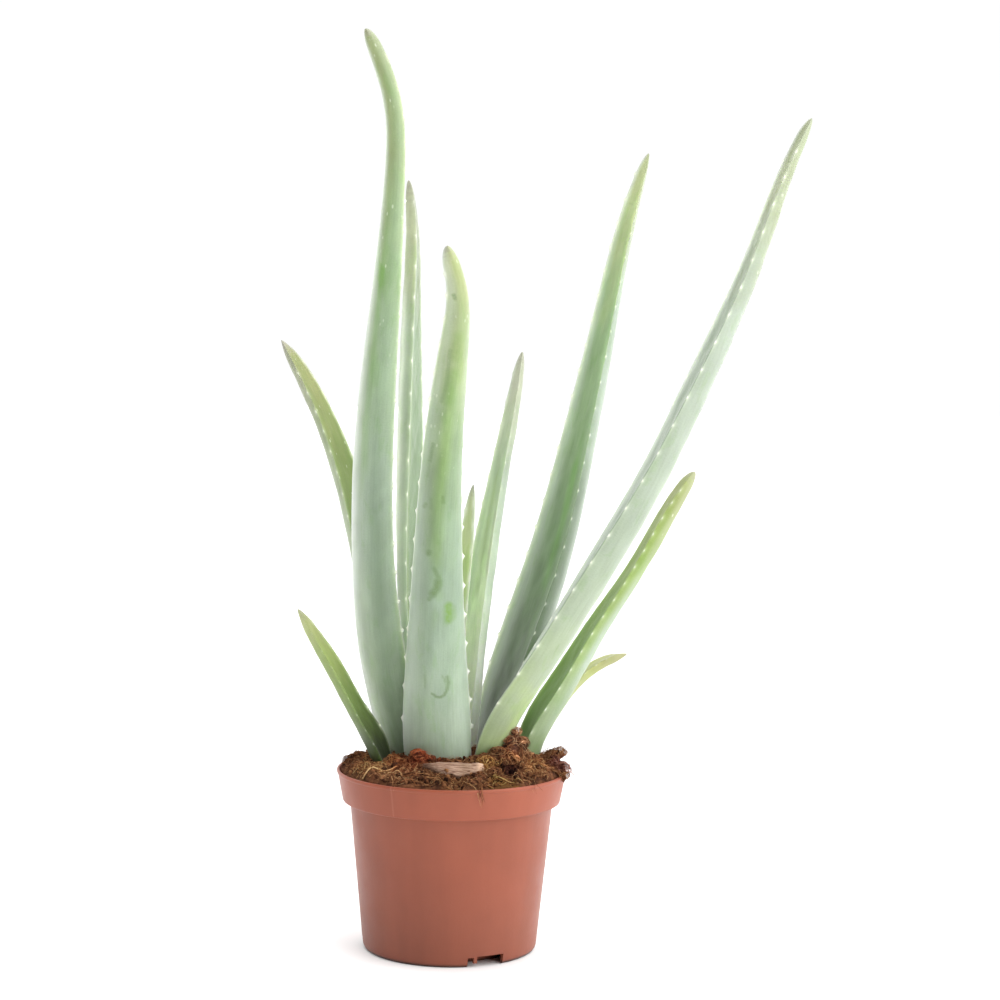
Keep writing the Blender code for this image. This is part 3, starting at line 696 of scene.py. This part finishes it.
def margin_details(leaf, draw, teeth, length, places, across, margin_mm):
    """For each point, how far teeth and scallops move it toward the + side and up the
    leaf, and how far it belongs to a tooth, a bead and the pale line."""
    sideways, forward, tooth, bead, line = np.zeros((5, *margin_mm.shape))
    for margin, sign in enumerate((1, -1)):
        tall, edge, spot = (leaf[key][margin] for key in ("tooth", "edge", "bead"))
        gap = np.abs(places[:, None] - teeth[sign])
        size = tall * (1 - TOOTH_SHRINK * teeth[sign] / length)
        size = size * draw.uniform(0.85, 1.2, len(size))
        height = (np.clip(1 - gap / TOOTH_HALF_BASE, 0, 1)**1.25 * size).max(1, initial=0)
        close = np.exp(-(gap / BEAD_LENGTH)**2).max(1, initial=0)[:, None]
        on_side = np.sign(across) == sign
        out = height[:, None] * np.clip(1 - margin_mm / TOOTH_DEPTH, 0, 1)**1.4 * on_side
        scallop = SCALLOP * (close - 0.5) * np.clip(1 - margin_mm / 2.5, 0, 1) * on_side
        sideways += sign * (out + scallop)
        forward += TOOTH_LEAN * out
        tooth += out / TOOTH_HEIGHT
        bead += spot * close * np.clip(1.3 - margin_mm / 1.6, 0, 1) * on_side
        line += edge * np.clip((1.7 - margin_mm) / 1.2, 0, 1) * on_side
    return sideways, forward, tooth, bead, line


def make_leaf(name, leaf, seed):
    draw = np.random.default_rng(seed)
    at, length = smooth_curve(leaf["rows"])
    shares = np.linspace(0, 1, 1000)
    ground = leaf.get("ground", DEFAULT_GROUND)
    first = length * shares[np.argmax(at(shares)[:, 2] > ground)]
    teeth = tooth_places(leaf, first, length)
    spacing, half = FINE_MESH if "marks" in leaf else PLAIN_MESH
    places = ring_places(teeth, length, spacing)
    share = places / length
    row = at(share)
    along, inward, side = leaf_axes(at, share, row[:, 4])

    # Each ring goes over the inner face from the + margin to the - one and back outside
    turn = np.linspace(0, pi, half + 1)[:-1]
    across = np.r_[np.cos(turn), -np.cos(turn)]
    is_outer = np.r_[np.zeros(half), np.ones(half)]
    tip_over = np.clip(1 - (length - places) / TIP_ROUND, 0, 1)
    width = (row[:, 3] * np.sqrt(1 - tip_over**2))[:, None]
    thick = (leaf["thick"][0] + (leaf["thick"][1] - leaf["thick"][0]) * share)[:, None]
    bulge = np.clip(1 - across**2, 0, 1)
    depth = thick / 2 - is_outer * bulge**0.68 * thick \
        - (1 - is_outer) * bulge**0.62 * HOLLOW * (1 - share)[:, None]
    side_mm = across * width / 2

    def everywhere(values):
        return np.broadcast_to(values, side_mm.shape)

    up_mm = everywhere(places[:, None])
    lift = ripple(side_mm + is_outer * 40, up_mm, draw) * bulge
    marks = {}
    if "marks" in leaf:
        marks = {key: stroke_mask(strokes, up_mm, side_mm, width[:, 0] / 2) * is_outer
                 for key, strokes in (("scar", SCARS), ("green", GREEN_MARKS))}
        lift = lift + SCAR_LIFT * marks["scar"]
    margin_mm = np.hypot((1 - np.abs(across)) * width / 2, np.abs(depth - thick / 2) * width)
    sideways, forward, tooth, bead, line = margin_details(
        leaf, draw, teeth, length, places, across, margin_mm)
    points = row[:, None, :3] + side[:, None] * (side_mm + sideways)[..., None] \
        + inward[:, None] * (depth * width + lift)[..., None] \
        + along[:, None] * forward[..., None]

    count = len(across)
    index = np.arange(side_mm.size).reshape(-1, count)
    top = index[-1].tolist()
    fan = [(top[i], top[(i + 1) % count], side_mm.size) for i in range(count)]
    faces = ring_faces(index, flip=True) + fan + [tuple(reversed(range(count)))]
    up_leaf = np.clip((places - first) / (length - first), 0, 1)
    values = {
        "along": everywhere(up_leaf[:, None]), "across": everywhere(across), "up_mm": up_mm,
        "side_mm": side_mm, "from_tip": length - up_mm, "outer": everywhere(is_outer),
        "tooth": tooth, "bead": bead, "line": line, **marks}
    values = {key: np.append(value.ravel(), value.ravel()[-1]) for key, value in values.items()}
    tip = at(1)[None, :3]
    obj = mesh_object(name + "_skin", np.vstack((points.reshape(-1, 3), tip)), faces, values)
    finish_piece(obj, leaf_material(name + "_skin", leaf), name)


# Pot
def pot_profile():
    """From the inner floor out, up the inside, over the rim and down the outside."""
    floor_top = GROOVE_HEIGHT + POT_FLOOR
    rim = ((-1.6, -0.8), (-1.35, -0.2), (-1, 0), (-0.5, 0), (-0.15, -0.2), (0, -0.6),
           (0, -1.3), (-0.15, -1.7), (-0.5, -2))
    band = ((0.35, 1.6), (0.15, 0.6), (-0.05, 0.2), (-0.4, 0))
    body = ((0.6, 0), (0.15, -0.25), (-0.03, -0.9))
    foot = ((0.4, 3.6), (0.2, 2.2), (-0.2, 1.1), (-0.7, 0.35), (-1.2, 0.05), (-1.6, 0))

    def rounded(radius, height, offsets):
        return [(radius + out, height + up) for out, up in offsets]

    return [
        (0, POT_FLOOR), (DISC_RADIUS - POT_FLOOR, POT_FLOOR), (GROOVE_INNER - WALL, floor_top),
        (INNER_FOOT_RADIUS, floor_top), (BODY_TOP_RADIUS - WALL, INNER_STEP_HEIGHT),
        (INNER_BAND_RADIUS, INNER_STEP_HEIGHT),
        *rounded(RIM_RADIUS, POT_HEIGHT, rim), *rounded(BAND_RADIUS, BAND_HEIGHT, band),
        *rounded(BODY_TOP_RADIUS, BAND_HEIGHT, body), *rounded(BODY_FOOT_RADIUS, 0, foot),
        (GROOVE_OUTER + 0.4, 0), (GROOVE_OUTER, GROOVE_HEIGHT), (GROOVE_INNER, GROOVE_HEIGHT),
        (DISC_RADIUS, 0), (0, 0)]


def drain_box(angle, radii, width, heights, cutters):
    obj = bpy.data.objects.new("drain_cutter", bpy.data.meshes.new("drain_cutter"))
    cutters.objects.link(obj)
    box = bmesh.new()
    bmesh.ops.create_cube(box, size=1)
    size = (width * MM, (radii[1] - radii[0]) * MM, (heights[1] - heights[0]) * MM)
    bmesh.ops.scale(box, vec=size, verts=box.verts)
    box.to_mesh(obj.data)
    box.free()
    turn = radians(angle)
    middle = sum(radii) / 2 * MM
    obj.location = (middle * sin(turn), -middle * cos(turn), sum(heights) / 2 * MM)
    obj.rotation_euler = (0, 0, turn)


def pot_material():
    g = material_graph("pot_plastic")
    place = g.object_place()
    x, y, z = g.split(place)
    flow = g.vary(-0.04, 0.04, g.stretched(place, (1, 1, 0.12)), 90, 3, 0.5)
    clouds = g.vary(-0.05, 0.05, place, 26, 4, 0.55)
    # Darker toward the foot and lighter on the rim band: painted shade and painted light, matched
    # to how the pot is lit
    colour = g.mix(g.step(z, 0.004, 0.06), (0.225, 0.064, 0.035), (0.265, 0.071, 0.038))
    colour = g.mix(g.step(z, 0.077, 0.079), colour, (0.292, 0.076, 0.04))
    colour = g.tinted(colour, g.grey(g.add(flow, clouds, 1)))
    dust = g.step(g.noise(place, 420, 3, 0.7), 0.62, 0.74, 0, 0.35)
    colour = g.mix(g.times(dust, g.step(z, 0.084, 0.0945)), colour, (0.2, 0.07, 0.04))
    turn = g.join("ARCTAN2", x, g.times(y, -1))
    seam = g.times(g.step(g.apart(turn, SEAM_ANGLE), 0.003, 0.012, 0.35, 0),
                   g.step(z, 0.0775, 0.079))
    colour = g.mix(seam, colour, (0.42, 0.15, 0.09))
    # A dark line round the foot's chamfer: painted contact shadow
    colour = g.mix(g.step(z, 0.0005, 0.0022, 0.85, 0), colour, (0.035, 0.014, 0.009))
    return g.surface(
        Base_Color=colour, Roughness=g.vary(0.38, 0.48, place, 60, 4, 0.6),
        Normal=g.bump(g.noise(place, 900, 3, 0.6), 0.00004), Subsurface_Weight=0.08,
        Subsurface_Radius=(1, 0.35, 0.2), Subsurface_Scale=0.003, Specular_IOR_Level=0.3)


def make_pot():
    profile = [(radius, 0, height) for radius, height in pot_profile()]
    lines = [(i, i + 1) for i in range(len(profile) - 1)]
    pot = mesh_object("pot_shell", profile, (), edges=lines)
    screw = pot.modifiers.new("Turn", "SCREW")
    screw.steps = screw.render_steps = POT_STEPS
    screw.use_merge_vertices = True
    screw.merge_threshold = 0.0001
    cutters = bpy.data.collections.new("drain_cutters")
    bpy.context.scene.collection.children.link(cutters)
    across_foot = (GROOVE_OUTER - 3, RIM_RADIUS)
    across_groove = (GROOVE_INNER + 0.8, GROOVE_OUTER - 1)
    through_floor = (GROOVE_HEIGHT - 1, GROOVE_HEIGHT + POT_FLOOR + 1)
    boxes = (
        (NOTCH_ANGLE, across_foot, NOTCH_WIDTH, (CUT_BOTTOM, GROOVE_HEIGHT - 0.4)),
        (SLIT_ANGLE, across_foot, SLIT_WIDTH, (CUT_BOTTOM, GROOVE_HEIGHT - 0.9)),
        (WEB_ANGLE, across_foot, WEB_WIDTH, (CUT_BOTTOM, WEB_CUT)),
        (NOTCH_ANGLE, across_groove, NOTCH_WIDTH - 4, through_floor))
    for site in range(DRAIN_SITES):
        for angle, *box in boxes:
            drain_box(site * 360 / DRAIN_SITES + angle, *box, cutters)
    cut = pot.modifiers.new("Drains", "BOOLEAN")
    cut.operation = "DIFFERENCE"
    cut.operand_type = "COLLECTION"
    cut.collection = cutters
    cut.solver = "EXACT"
    shaped = pot.evaluated_get(bpy.context.evaluated_depsgraph_get())
    mesh = bpy.data.meshes.new_from_object(shaped)
    pot.modifiers.clear()
    pot.data = mesh
    for cutter in list(cutters.objects):
        bpy.data.objects.remove(cutter)
    bpy.data.collections.remove(cutters)
    finish_piece(pot, pot_material(), "pot")
    pot.data.set_sharp_from_angle(angle=radians(SHARP_ANGLE))


# Soil
def soil_height(x, y):
    """Height of the soil over a place, in millimetres."""
    height = SOIL_EDGE + SOIL_RISE * (1 - (x * x + y * y) / SOIL_RADIUS**2)
    for cx, cy, rise, radius in SOIL_LUMPS:
        height += rise * exp(-((x - cx)**2 + (y - cy)**2) / radius**2)
    for size, rise in SOIL_ROUGHNESS:
        height += rise * noise.noise(Vector((x / size, y / size, size)))
    return height


def coir_surface(g, place, colour, grain, height):
    """Dull, finely grained coir, tinted lighter and darker in patches by place, one patch the
    painted shade of a hollow.
    """
    level = g.stretched(place, (1, 1, 0))
    for x, y, radius, tint in SOIL_TINTS:
        reach = radius * MM
        away = g.node("VectorMath", {0: level, 1: (x * MM, y * MM, 0)}, operation="DISTANCE")
        ragged = g.add(away.outputs["Value"],
                       g.vary(-0.3 * reach, 0.3 * reach, place, 150, 3, 0.6))
        colour = g.tinted(colour, tint, g.step(ragged, 0.5 * reach, 1.1 * reach, 1, 0))
    return g.surface(Base_Color=colour, Roughness=0.95, Specular_IOR_Level=0.03,
                     Normal=g.bump(g.noise(place, *grain), height))


def soil_material():
    g = material_graph("coir_soil")
    place = g.object_place()
    mixed = g.add(g.times(g.noise(place, 320, 5, 0.65), 0.7),
                  g.times(g.noise(place, 70, 3, 0.5), 0.3))
    colour = g.ramp(mixed, [(0.32, (0.018, 0.009, 0.006)), (0.46, (0.075, 0.032, 0.018)),
                            (0.58, (0.17, 0.07, 0.034)), (0.72, (0.3, 0.14, 0.065))])
    return coir_surface(g, place, colour, (700, 5, 0.7), 0.0008)


def bits_material(name, stops):
    g = material_graph(name)
    place = g.object_place()
    grain = g.step(g.noise(place, 900, 4, 0.65), 0.25, 0.75, -0.22, 0.22)
    colour = g.ramp(g.add(g.attribute("shade"), grain), stops)
    return coir_surface(g, place, colour, (1500, 4, 0.7), 0.0004)


def make_soil():
    turn = np.arange(SOIL_STEPS) * FULL_TURN / SOIL_STEPS
    points = [(0, 0, soil_height(0, 0))]
    for radius in SOIL_RADIUS * np.linspace(0, 1, SOIL_RINGS + 1)[1:]:
        drop = max(0, (radius - SOIL_DROP_RADIUS) / (SOIL_RADIUS - SOIL_DROP_RADIUS))**2
        for a in turn:
            x, y = radius * cos(a), radius * sin(a)
            height = soil_height(x, y)
            points.append((x, y, height + (min(height, SOIL_EDGE - 1) - height) * drop))
    step_height = INNER_STEP_HEIGHT + SOIL_GAP
    floor_height = GROOVE_HEIGHT + POT_FLOOR + SOIL_GAP
    wall = ((INNER_BAND_RADIUS - SOIL_GAP, step_height),
            (BODY_TOP_RADIUS - WALL - SOIL_GAP, step_height),
            (INNER_FOOT_RADIUS - SOIL_GAP, floor_height),
            (GROOVE_INNER - WALL - SOIL_GAP, floor_height),
            (DISC_RADIUS - POT_FLOOR - SOIL_GAP, POT_FLOOR + SOIL_GAP))
    for radius, height in wall:
        points += [(radius * cos(a), radius * sin(a), height) for a in turn]
    bottom = len(points)
    points.append((0, 0, POT_FLOOR + SOIL_GAP))
    index = np.arange(1, bottom).reshape(-1, SOIL_STEPS)
    first, last = index[0].tolist(), index[-1].tolist()
    faces = [(0, first[i - 1], first[i]) for i in range(SOIL_STEPS)] + ring_faces(index)
    faces += [(last[i - 1], bottom, last[i]) for i in range(SOIL_STEPS)]
    finish_piece(mesh_object("soil_mound", points, faces), soil_material(), "soil")


def crumb_shapes(draw, count):
    """Rough little lumps, as points about their middle."""
    shapes = []
    for _ in range(count):
        ball = bmesh.new()
        bmesh.ops.create_icosphere(ball, subdivisions=2, radius=1)
        shift = Vector(draw.uniform(-50, 50, 3))
        stretch = draw.uniform(0.55, 1.3, 3)
        for vert in ball.verts:
            bumpy = 1 + 0.55 * noise.noise(vert.co * 1.3 + shift) \
                + 0.3 * noise.noise(vert.co * 3.1 + shift)
            vert.co = Vector(vert.co[i] * stretch[i] * bumpy for i in range(3))
        points = np.array([vert.co[:] for vert in ball.verts])
        faces = np.array([[vert.index for vert in face.verts] for face in ball.faces])
        ball.free()
        shapes.append((points, faces))
    return shapes


def scatter_place(draw):
    angle = draw.uniform(0, FULL_TURN)
    radius = SCATTER_RADIUS * sqrt(draw.uniform(0, 1))
    return radius * cos(angle), radius * sin(angle)


def make_bits(name, parts, stops):
    """One piece of many small ones, each with its points, faces and shade."""
    points, faces, shades = [], [], []
    total = 0
    for part, part_faces, shade in parts:
        points.append(part)
        faces.append(np.array(part_faces) + total)
        shades.append(np.full(len(part), shade))
        total += len(part)
    obj = mesh_object("soil_" + name, np.vstack(points), np.vstack(faces).tolist(),
                      {"shade": np.concatenate(shades)})
    finish_piece(obj, bits_material("coir_" + name, stops))


def make_crumbs(draw):
    """Crumbs all over the soil, and the cores of the clods."""
    shapes = crumb_shapes(draw, CRUMB_FORMS)
    spots = []
    for _ in range(CRUMB_COUNT):
        x, y = scatter_place(draw)
        size = 0.4 + 1.3 * draw.uniform(0, 1)**3
        spots.append((x, y, soil_height(x, y) + size * 0.3, size, draw.uniform(0.1, 0.9)))
    for x, y, radius, lift in CLODS:
        height = soil_height(x, y) + lift - CLOD_CORE_DROP
        spots.append((x, y, height, radius * CLOD_CORE_SIZE, draw.uniform(0.15, 0.4)))
    crumbs = []
    for *place, size, shade in spots:
        shape, faces = shapes[draw.integers(len(shapes))]
        turn = np.array(Euler(draw.uniform(0, FULL_TURN, 3)).to_matrix())
        crumbs.append((shape @ turn.T * size + place, faces, shade))
    make_bits("crumbs", crumbs, [(0.1, (0.02, 0.009, 0.006)), (0.4, (0.085, 0.033, 0.017)),
                                 (0.7, (0.19, 0.077, 0.036)), (1, (0.34, 0.165, 0.08))])


def loose_fibre(draw, place, heading, bend, length):
    """A curl that follows the soil, or None where it would leave the pot."""
    x, y = place
    knots = 10
    arch = draw.uniform(0, 1)**2 * 2.5
    path = []
    for k in range(knots):
        share = k / (knots - 1)
        path.append((x, y, soil_height(x, y) + 0.25 + arch * sin(pi * share)))
        x += cos(heading) * length / knots
        y += sin(heading) * length / knots
        heading += bend + draw.uniform(-0.3, 0.3)
        if hypot(x, y) > FIBRE_LIMIT:
            break
    return np.array(path) if len(path) > 3 else None


def matted_fibre(draw, clod):
    """An arc wound around a clod."""
    x, y, radius, lift = clod
    start = draw.normal(size=3)
    start[2] = abs(start[2]) * 0.8
    start = unit(start)
    toward = unit(np.cross(start, draw.normal(size=3)))
    turn = np.linspace(0, draw.uniform(0.6, 2), 10)[:, None]
    away = radius * (0.78 + 0.3 * draw.uniform() + 0.12 * np.sin(turn * draw.uniform(2, 6)))
    path = away * (start * np.cos(turn) + toward * np.sin(turn)) * (1, 1, 0.8)
    return path + (x, y, soil_height(x, y) + lift)


def rim_strand(draw, start, end):
    """A strand that arches from the soil over the rim."""
    start, end = np.array((start, end)) + draw.normal(0, 1, (2, 3)) * RIM_SPREAD
    share = np.linspace(0, 1, 8)[:, None]
    path = start * (1 - share) + end * share
    path[:, 2] += 1.5 * np.sin(share[:, 0] * pi)
    return path + 0.35 * np.sin(share * draw.uniform(3, 9, 3))


def fibre_paths(draw):
    """Loose curls on the soil, mats on the clods and strands over the rim, with radii."""
    paths = [loose_fibre(draw, scatter_place(draw), draw.uniform(0, FULL_TURN),
                         draw.normal(0, 0.35), draw.uniform(3, 15))
             for _ in range(FIBRE_COUNT)]
    radii = [draw.uniform(*FINE_FIBRE) for _ in paths]
    for x, y, reach, count in COARSE_PATCHES:
        for _ in range(count):
            place = (draw.normal(x, reach), draw.normal(y, reach * 0.6))
            paths.append(loose_fibre(draw, place, draw.normal(0, 0.45), draw.normal(0, 0.14),
                                     draw.uniform(7, 19)))
            radii.append(draw.uniform(*COARSE_FIBRE))
    for clod in CLODS:
        for _ in range(int(CLOD_FIBRES * clod[2])):
            paths.append(matted_fibre(draw, clod))
            radii.append(draw.uniform(*FINE_FIBRE))
    for start, end, count in RIM_STRANDS:
        for _ in range(count):
            paths.append(rim_strand(draw, start, end))
            radii.append(draw.uniform(*FINE_FIBRE))
    return [(path, radius) for path, radius in zip(paths, radii) if path is not None]


def make_fibres(draw):
    """Thin tapering tubes of coir along the fibres' paths."""
    turn = (np.arange(FIBRE_SIDES) * FULL_TURN / FIBRE_SIDES)[:, None]
    fibres = []
    for path, radius in fibre_paths(draw):
        path[1:-1] = (path[:-2] + 2 * path[1:-1] + path[2:]) / 4
        along = unit(np.gradient(path, axis=0))
        side = unit(np.cross(along, (0.05, 0.02, 1)))
        up = np.cross(side, along)
        taper = radius * np.linspace(1, 0.4, len(path))[:, None, None]
        ring = path[:, None] + taper * (side[:, None] * np.cos(turn) + up[:, None] * np.sin(turn))
        index = np.arange(len(path) * FIBRE_SIDES).reshape(-1, FIBRE_SIDES)
        faces = ring_faces(index) + [index[0].tolist(), index[-1][::-1].tolist()]
        fibres.append((ring.reshape(-1, 3), faces, draw.uniform(0, 1)))
    make_bits("fibres", fibres, [(0.1, (0.08, 0.032, 0.016)), (0.45, (0.22, 0.085, 0.037)),
                                 (0.8, (0.4, 0.19, 0.085)), (1, (0.58, 0.36, 0.18))])


# Bark chip
def bark_material():
    g = material_graph("bark")
    place = g.object_place()
    along = g.split(place)[0]
    grain = g.noise(g.stretched(place, (0.12, 1, 1)), 1100, 5, 0.65)
    colour = g.ramp(grain, [(0.3, (0.13, 0.06, 0.038)), (0.5, (0.34, 0.205, 0.14)),
                            (0.7, (0.52, 0.365, 0.27))])
    colour = g.mix(g.step(along, -0.013, -0.005, 0.75, 0), colour, (0.15, 0.075, 0.045))
    # A darker band across the chip, right of its middle
    darker_band = g.step(g.apart(along, 0.008), 0.001, 0.005, 0.6, 0)
    colour = g.tinted(colour, (0.62, 0.6, 0.52), darker_band)
    colour = g.mix(g.step(along, 0.0125, 0.015), colour, (0.62, 0.42, 0.29))
    return g.surface(Base_Color=colour, Roughness=0.8, Normal=g.bump(grain, 0.0009),
                     Specular_IOR_Level=0.3)


def make_chip():
    chip = bmesh.new()
    bmesh.ops.create_cube(chip, size=1)
    bmesh.ops.subdivide_edges(chip, edges=chip.edges, cuts=CHIP_CUTS, use_grid_fill=True)
    for vert in chip.verts:
        along, across, up = vert.co * 2
        from_point = ((along + 1) / 2)**1.1
        half_width = CHIP_WIDTH / 2 * (0.1 + 0.9 * sin(0.82 * pi * from_point))
        half_width *= 1 + 0.12 * noise.noise(Vector((along * 4, across, 3)))
        straight_edge = CHIP_WIDTH / 2 - half_width
        half_thick = CHIP_THICKNESS / 2 * (1 - 0.35 * along**2)
        bow = 0.9 * (1 - along**2) - 1.1 * max(0, -across)**2 * (1 - 0.5 * along)
        ridge = 0.45 * noise.noise(Vector((along * 1.5, across * 5, up)))
        rough = 0.35 * noise.noise(Vector((along * 3, across * 6, up * 2)))
        ragged = 1.2 * along**4 * noise.noise(Vector((7, across * 2.5, up)))
        vert.co = (along * CHIP_LENGTH / 2 + rough + ragged,
                   across * half_width + straight_edge + rough,
                   up * half_thick * (1 - 0.3 * across**2) + bow + ridge + rough)
    turn = Euler((radians(CHIP_TILT), 0, radians(CHIP_TURN))).to_matrix().to_4x4()
    place = Matrix.Scale(MM, 4) @ Matrix.Translation(CHIP_CENTRE) @ turn
    bmesh.ops.transform(chip, matrix=place, verts=chip.verts)
    mesh = bpy.data.meshes.new("bark_chip_wood")
    chip.to_mesh(mesh)
    chip.free()
    finish_piece(add_object("bark_chip_wood", mesh), bark_material(), "bark_chip")


# Studio
def make_floor():
    bpy.ops.mesh.primitive_circle_add(vertices=96, radius=STUDIO_FLOOR_RADIUS,
                                      fill_type="NGON")
    floor = bpy.context.object
    floor.name = "floor"
    g = material_graph("white_floor")
    tone = g.vary(0.89, 0.91, g.object_place(), 3, 2)
    floor.data.materials.append(g.surface(Base_Color=g.grey(tone), Roughness=0.7))


def make_world():
    """White for the camera; for everything else soft boxes around a dimmer room."""
    world = bpy.data.worlds.new("studio")
    bpy.context.scene.world = world
    g = Graph(world)
    g.tree.nodes.clear()
    direction = g.node("TexCoord").outputs["Generated"]
    total = g.step(g.split(direction)[1], *ROOM_CHANGE, ROOM_FRONT, ROOM_BACK)
    for aim, inner, outer, strength in SOFT_BOXES:
        facing = g.node("VectorMath", {0: direction, 1: Vector(aim).normalized()},
                        operation="DOT_PRODUCT").outputs["Value"]
        full, end = (cos(radians(angle)) for angle in (inner, outer))
        total = g.add(total, g.step(facing, end, full, 0, strength))
    seen = g.node("LightPath").outputs["Is Camera Ray"]
    strength = g.node("Mix", {0: seen, 2: total, 3: CAMERA_WHITE}).outputs[0]
    light = g.node("Background", {"Color": (1, 1, 1), "Strength": strength}).outputs[0]
    g.node("OutputWorld", {0: light})


def make_camera():
    camera = bpy.data.cameras.new("camera")
    camera.lens = CAMERA_LENS
    camera.clip_start = CAMERA_NEAR
    obj = add_object("camera", camera)
    obj.location = CAMERA_PLACE
    look = Euler((radians(90 - CAMERA_PITCH), 0, 0)).to_matrix()
    obj.rotation_euler = (look @ Matrix.Rotation(radians(CAMERA_ROLL), 3, "Z")).to_euler()
    bpy.context.scene.camera = obj


make_camera()
make_world()
make_floor()
make_pot()
make_soil()
scatter = np.random.default_rng(SCATTER_SEED)
make_crumbs(scatter)
make_fibres(scatter)
make_chip()
for number, (leaf_name, leaf_shape) in enumerate(LEAVES.items()):
    make_leaf(leaf_name, leaf_shape, number)

bpy.context.scene.view_settings.view_transform = "Standard"
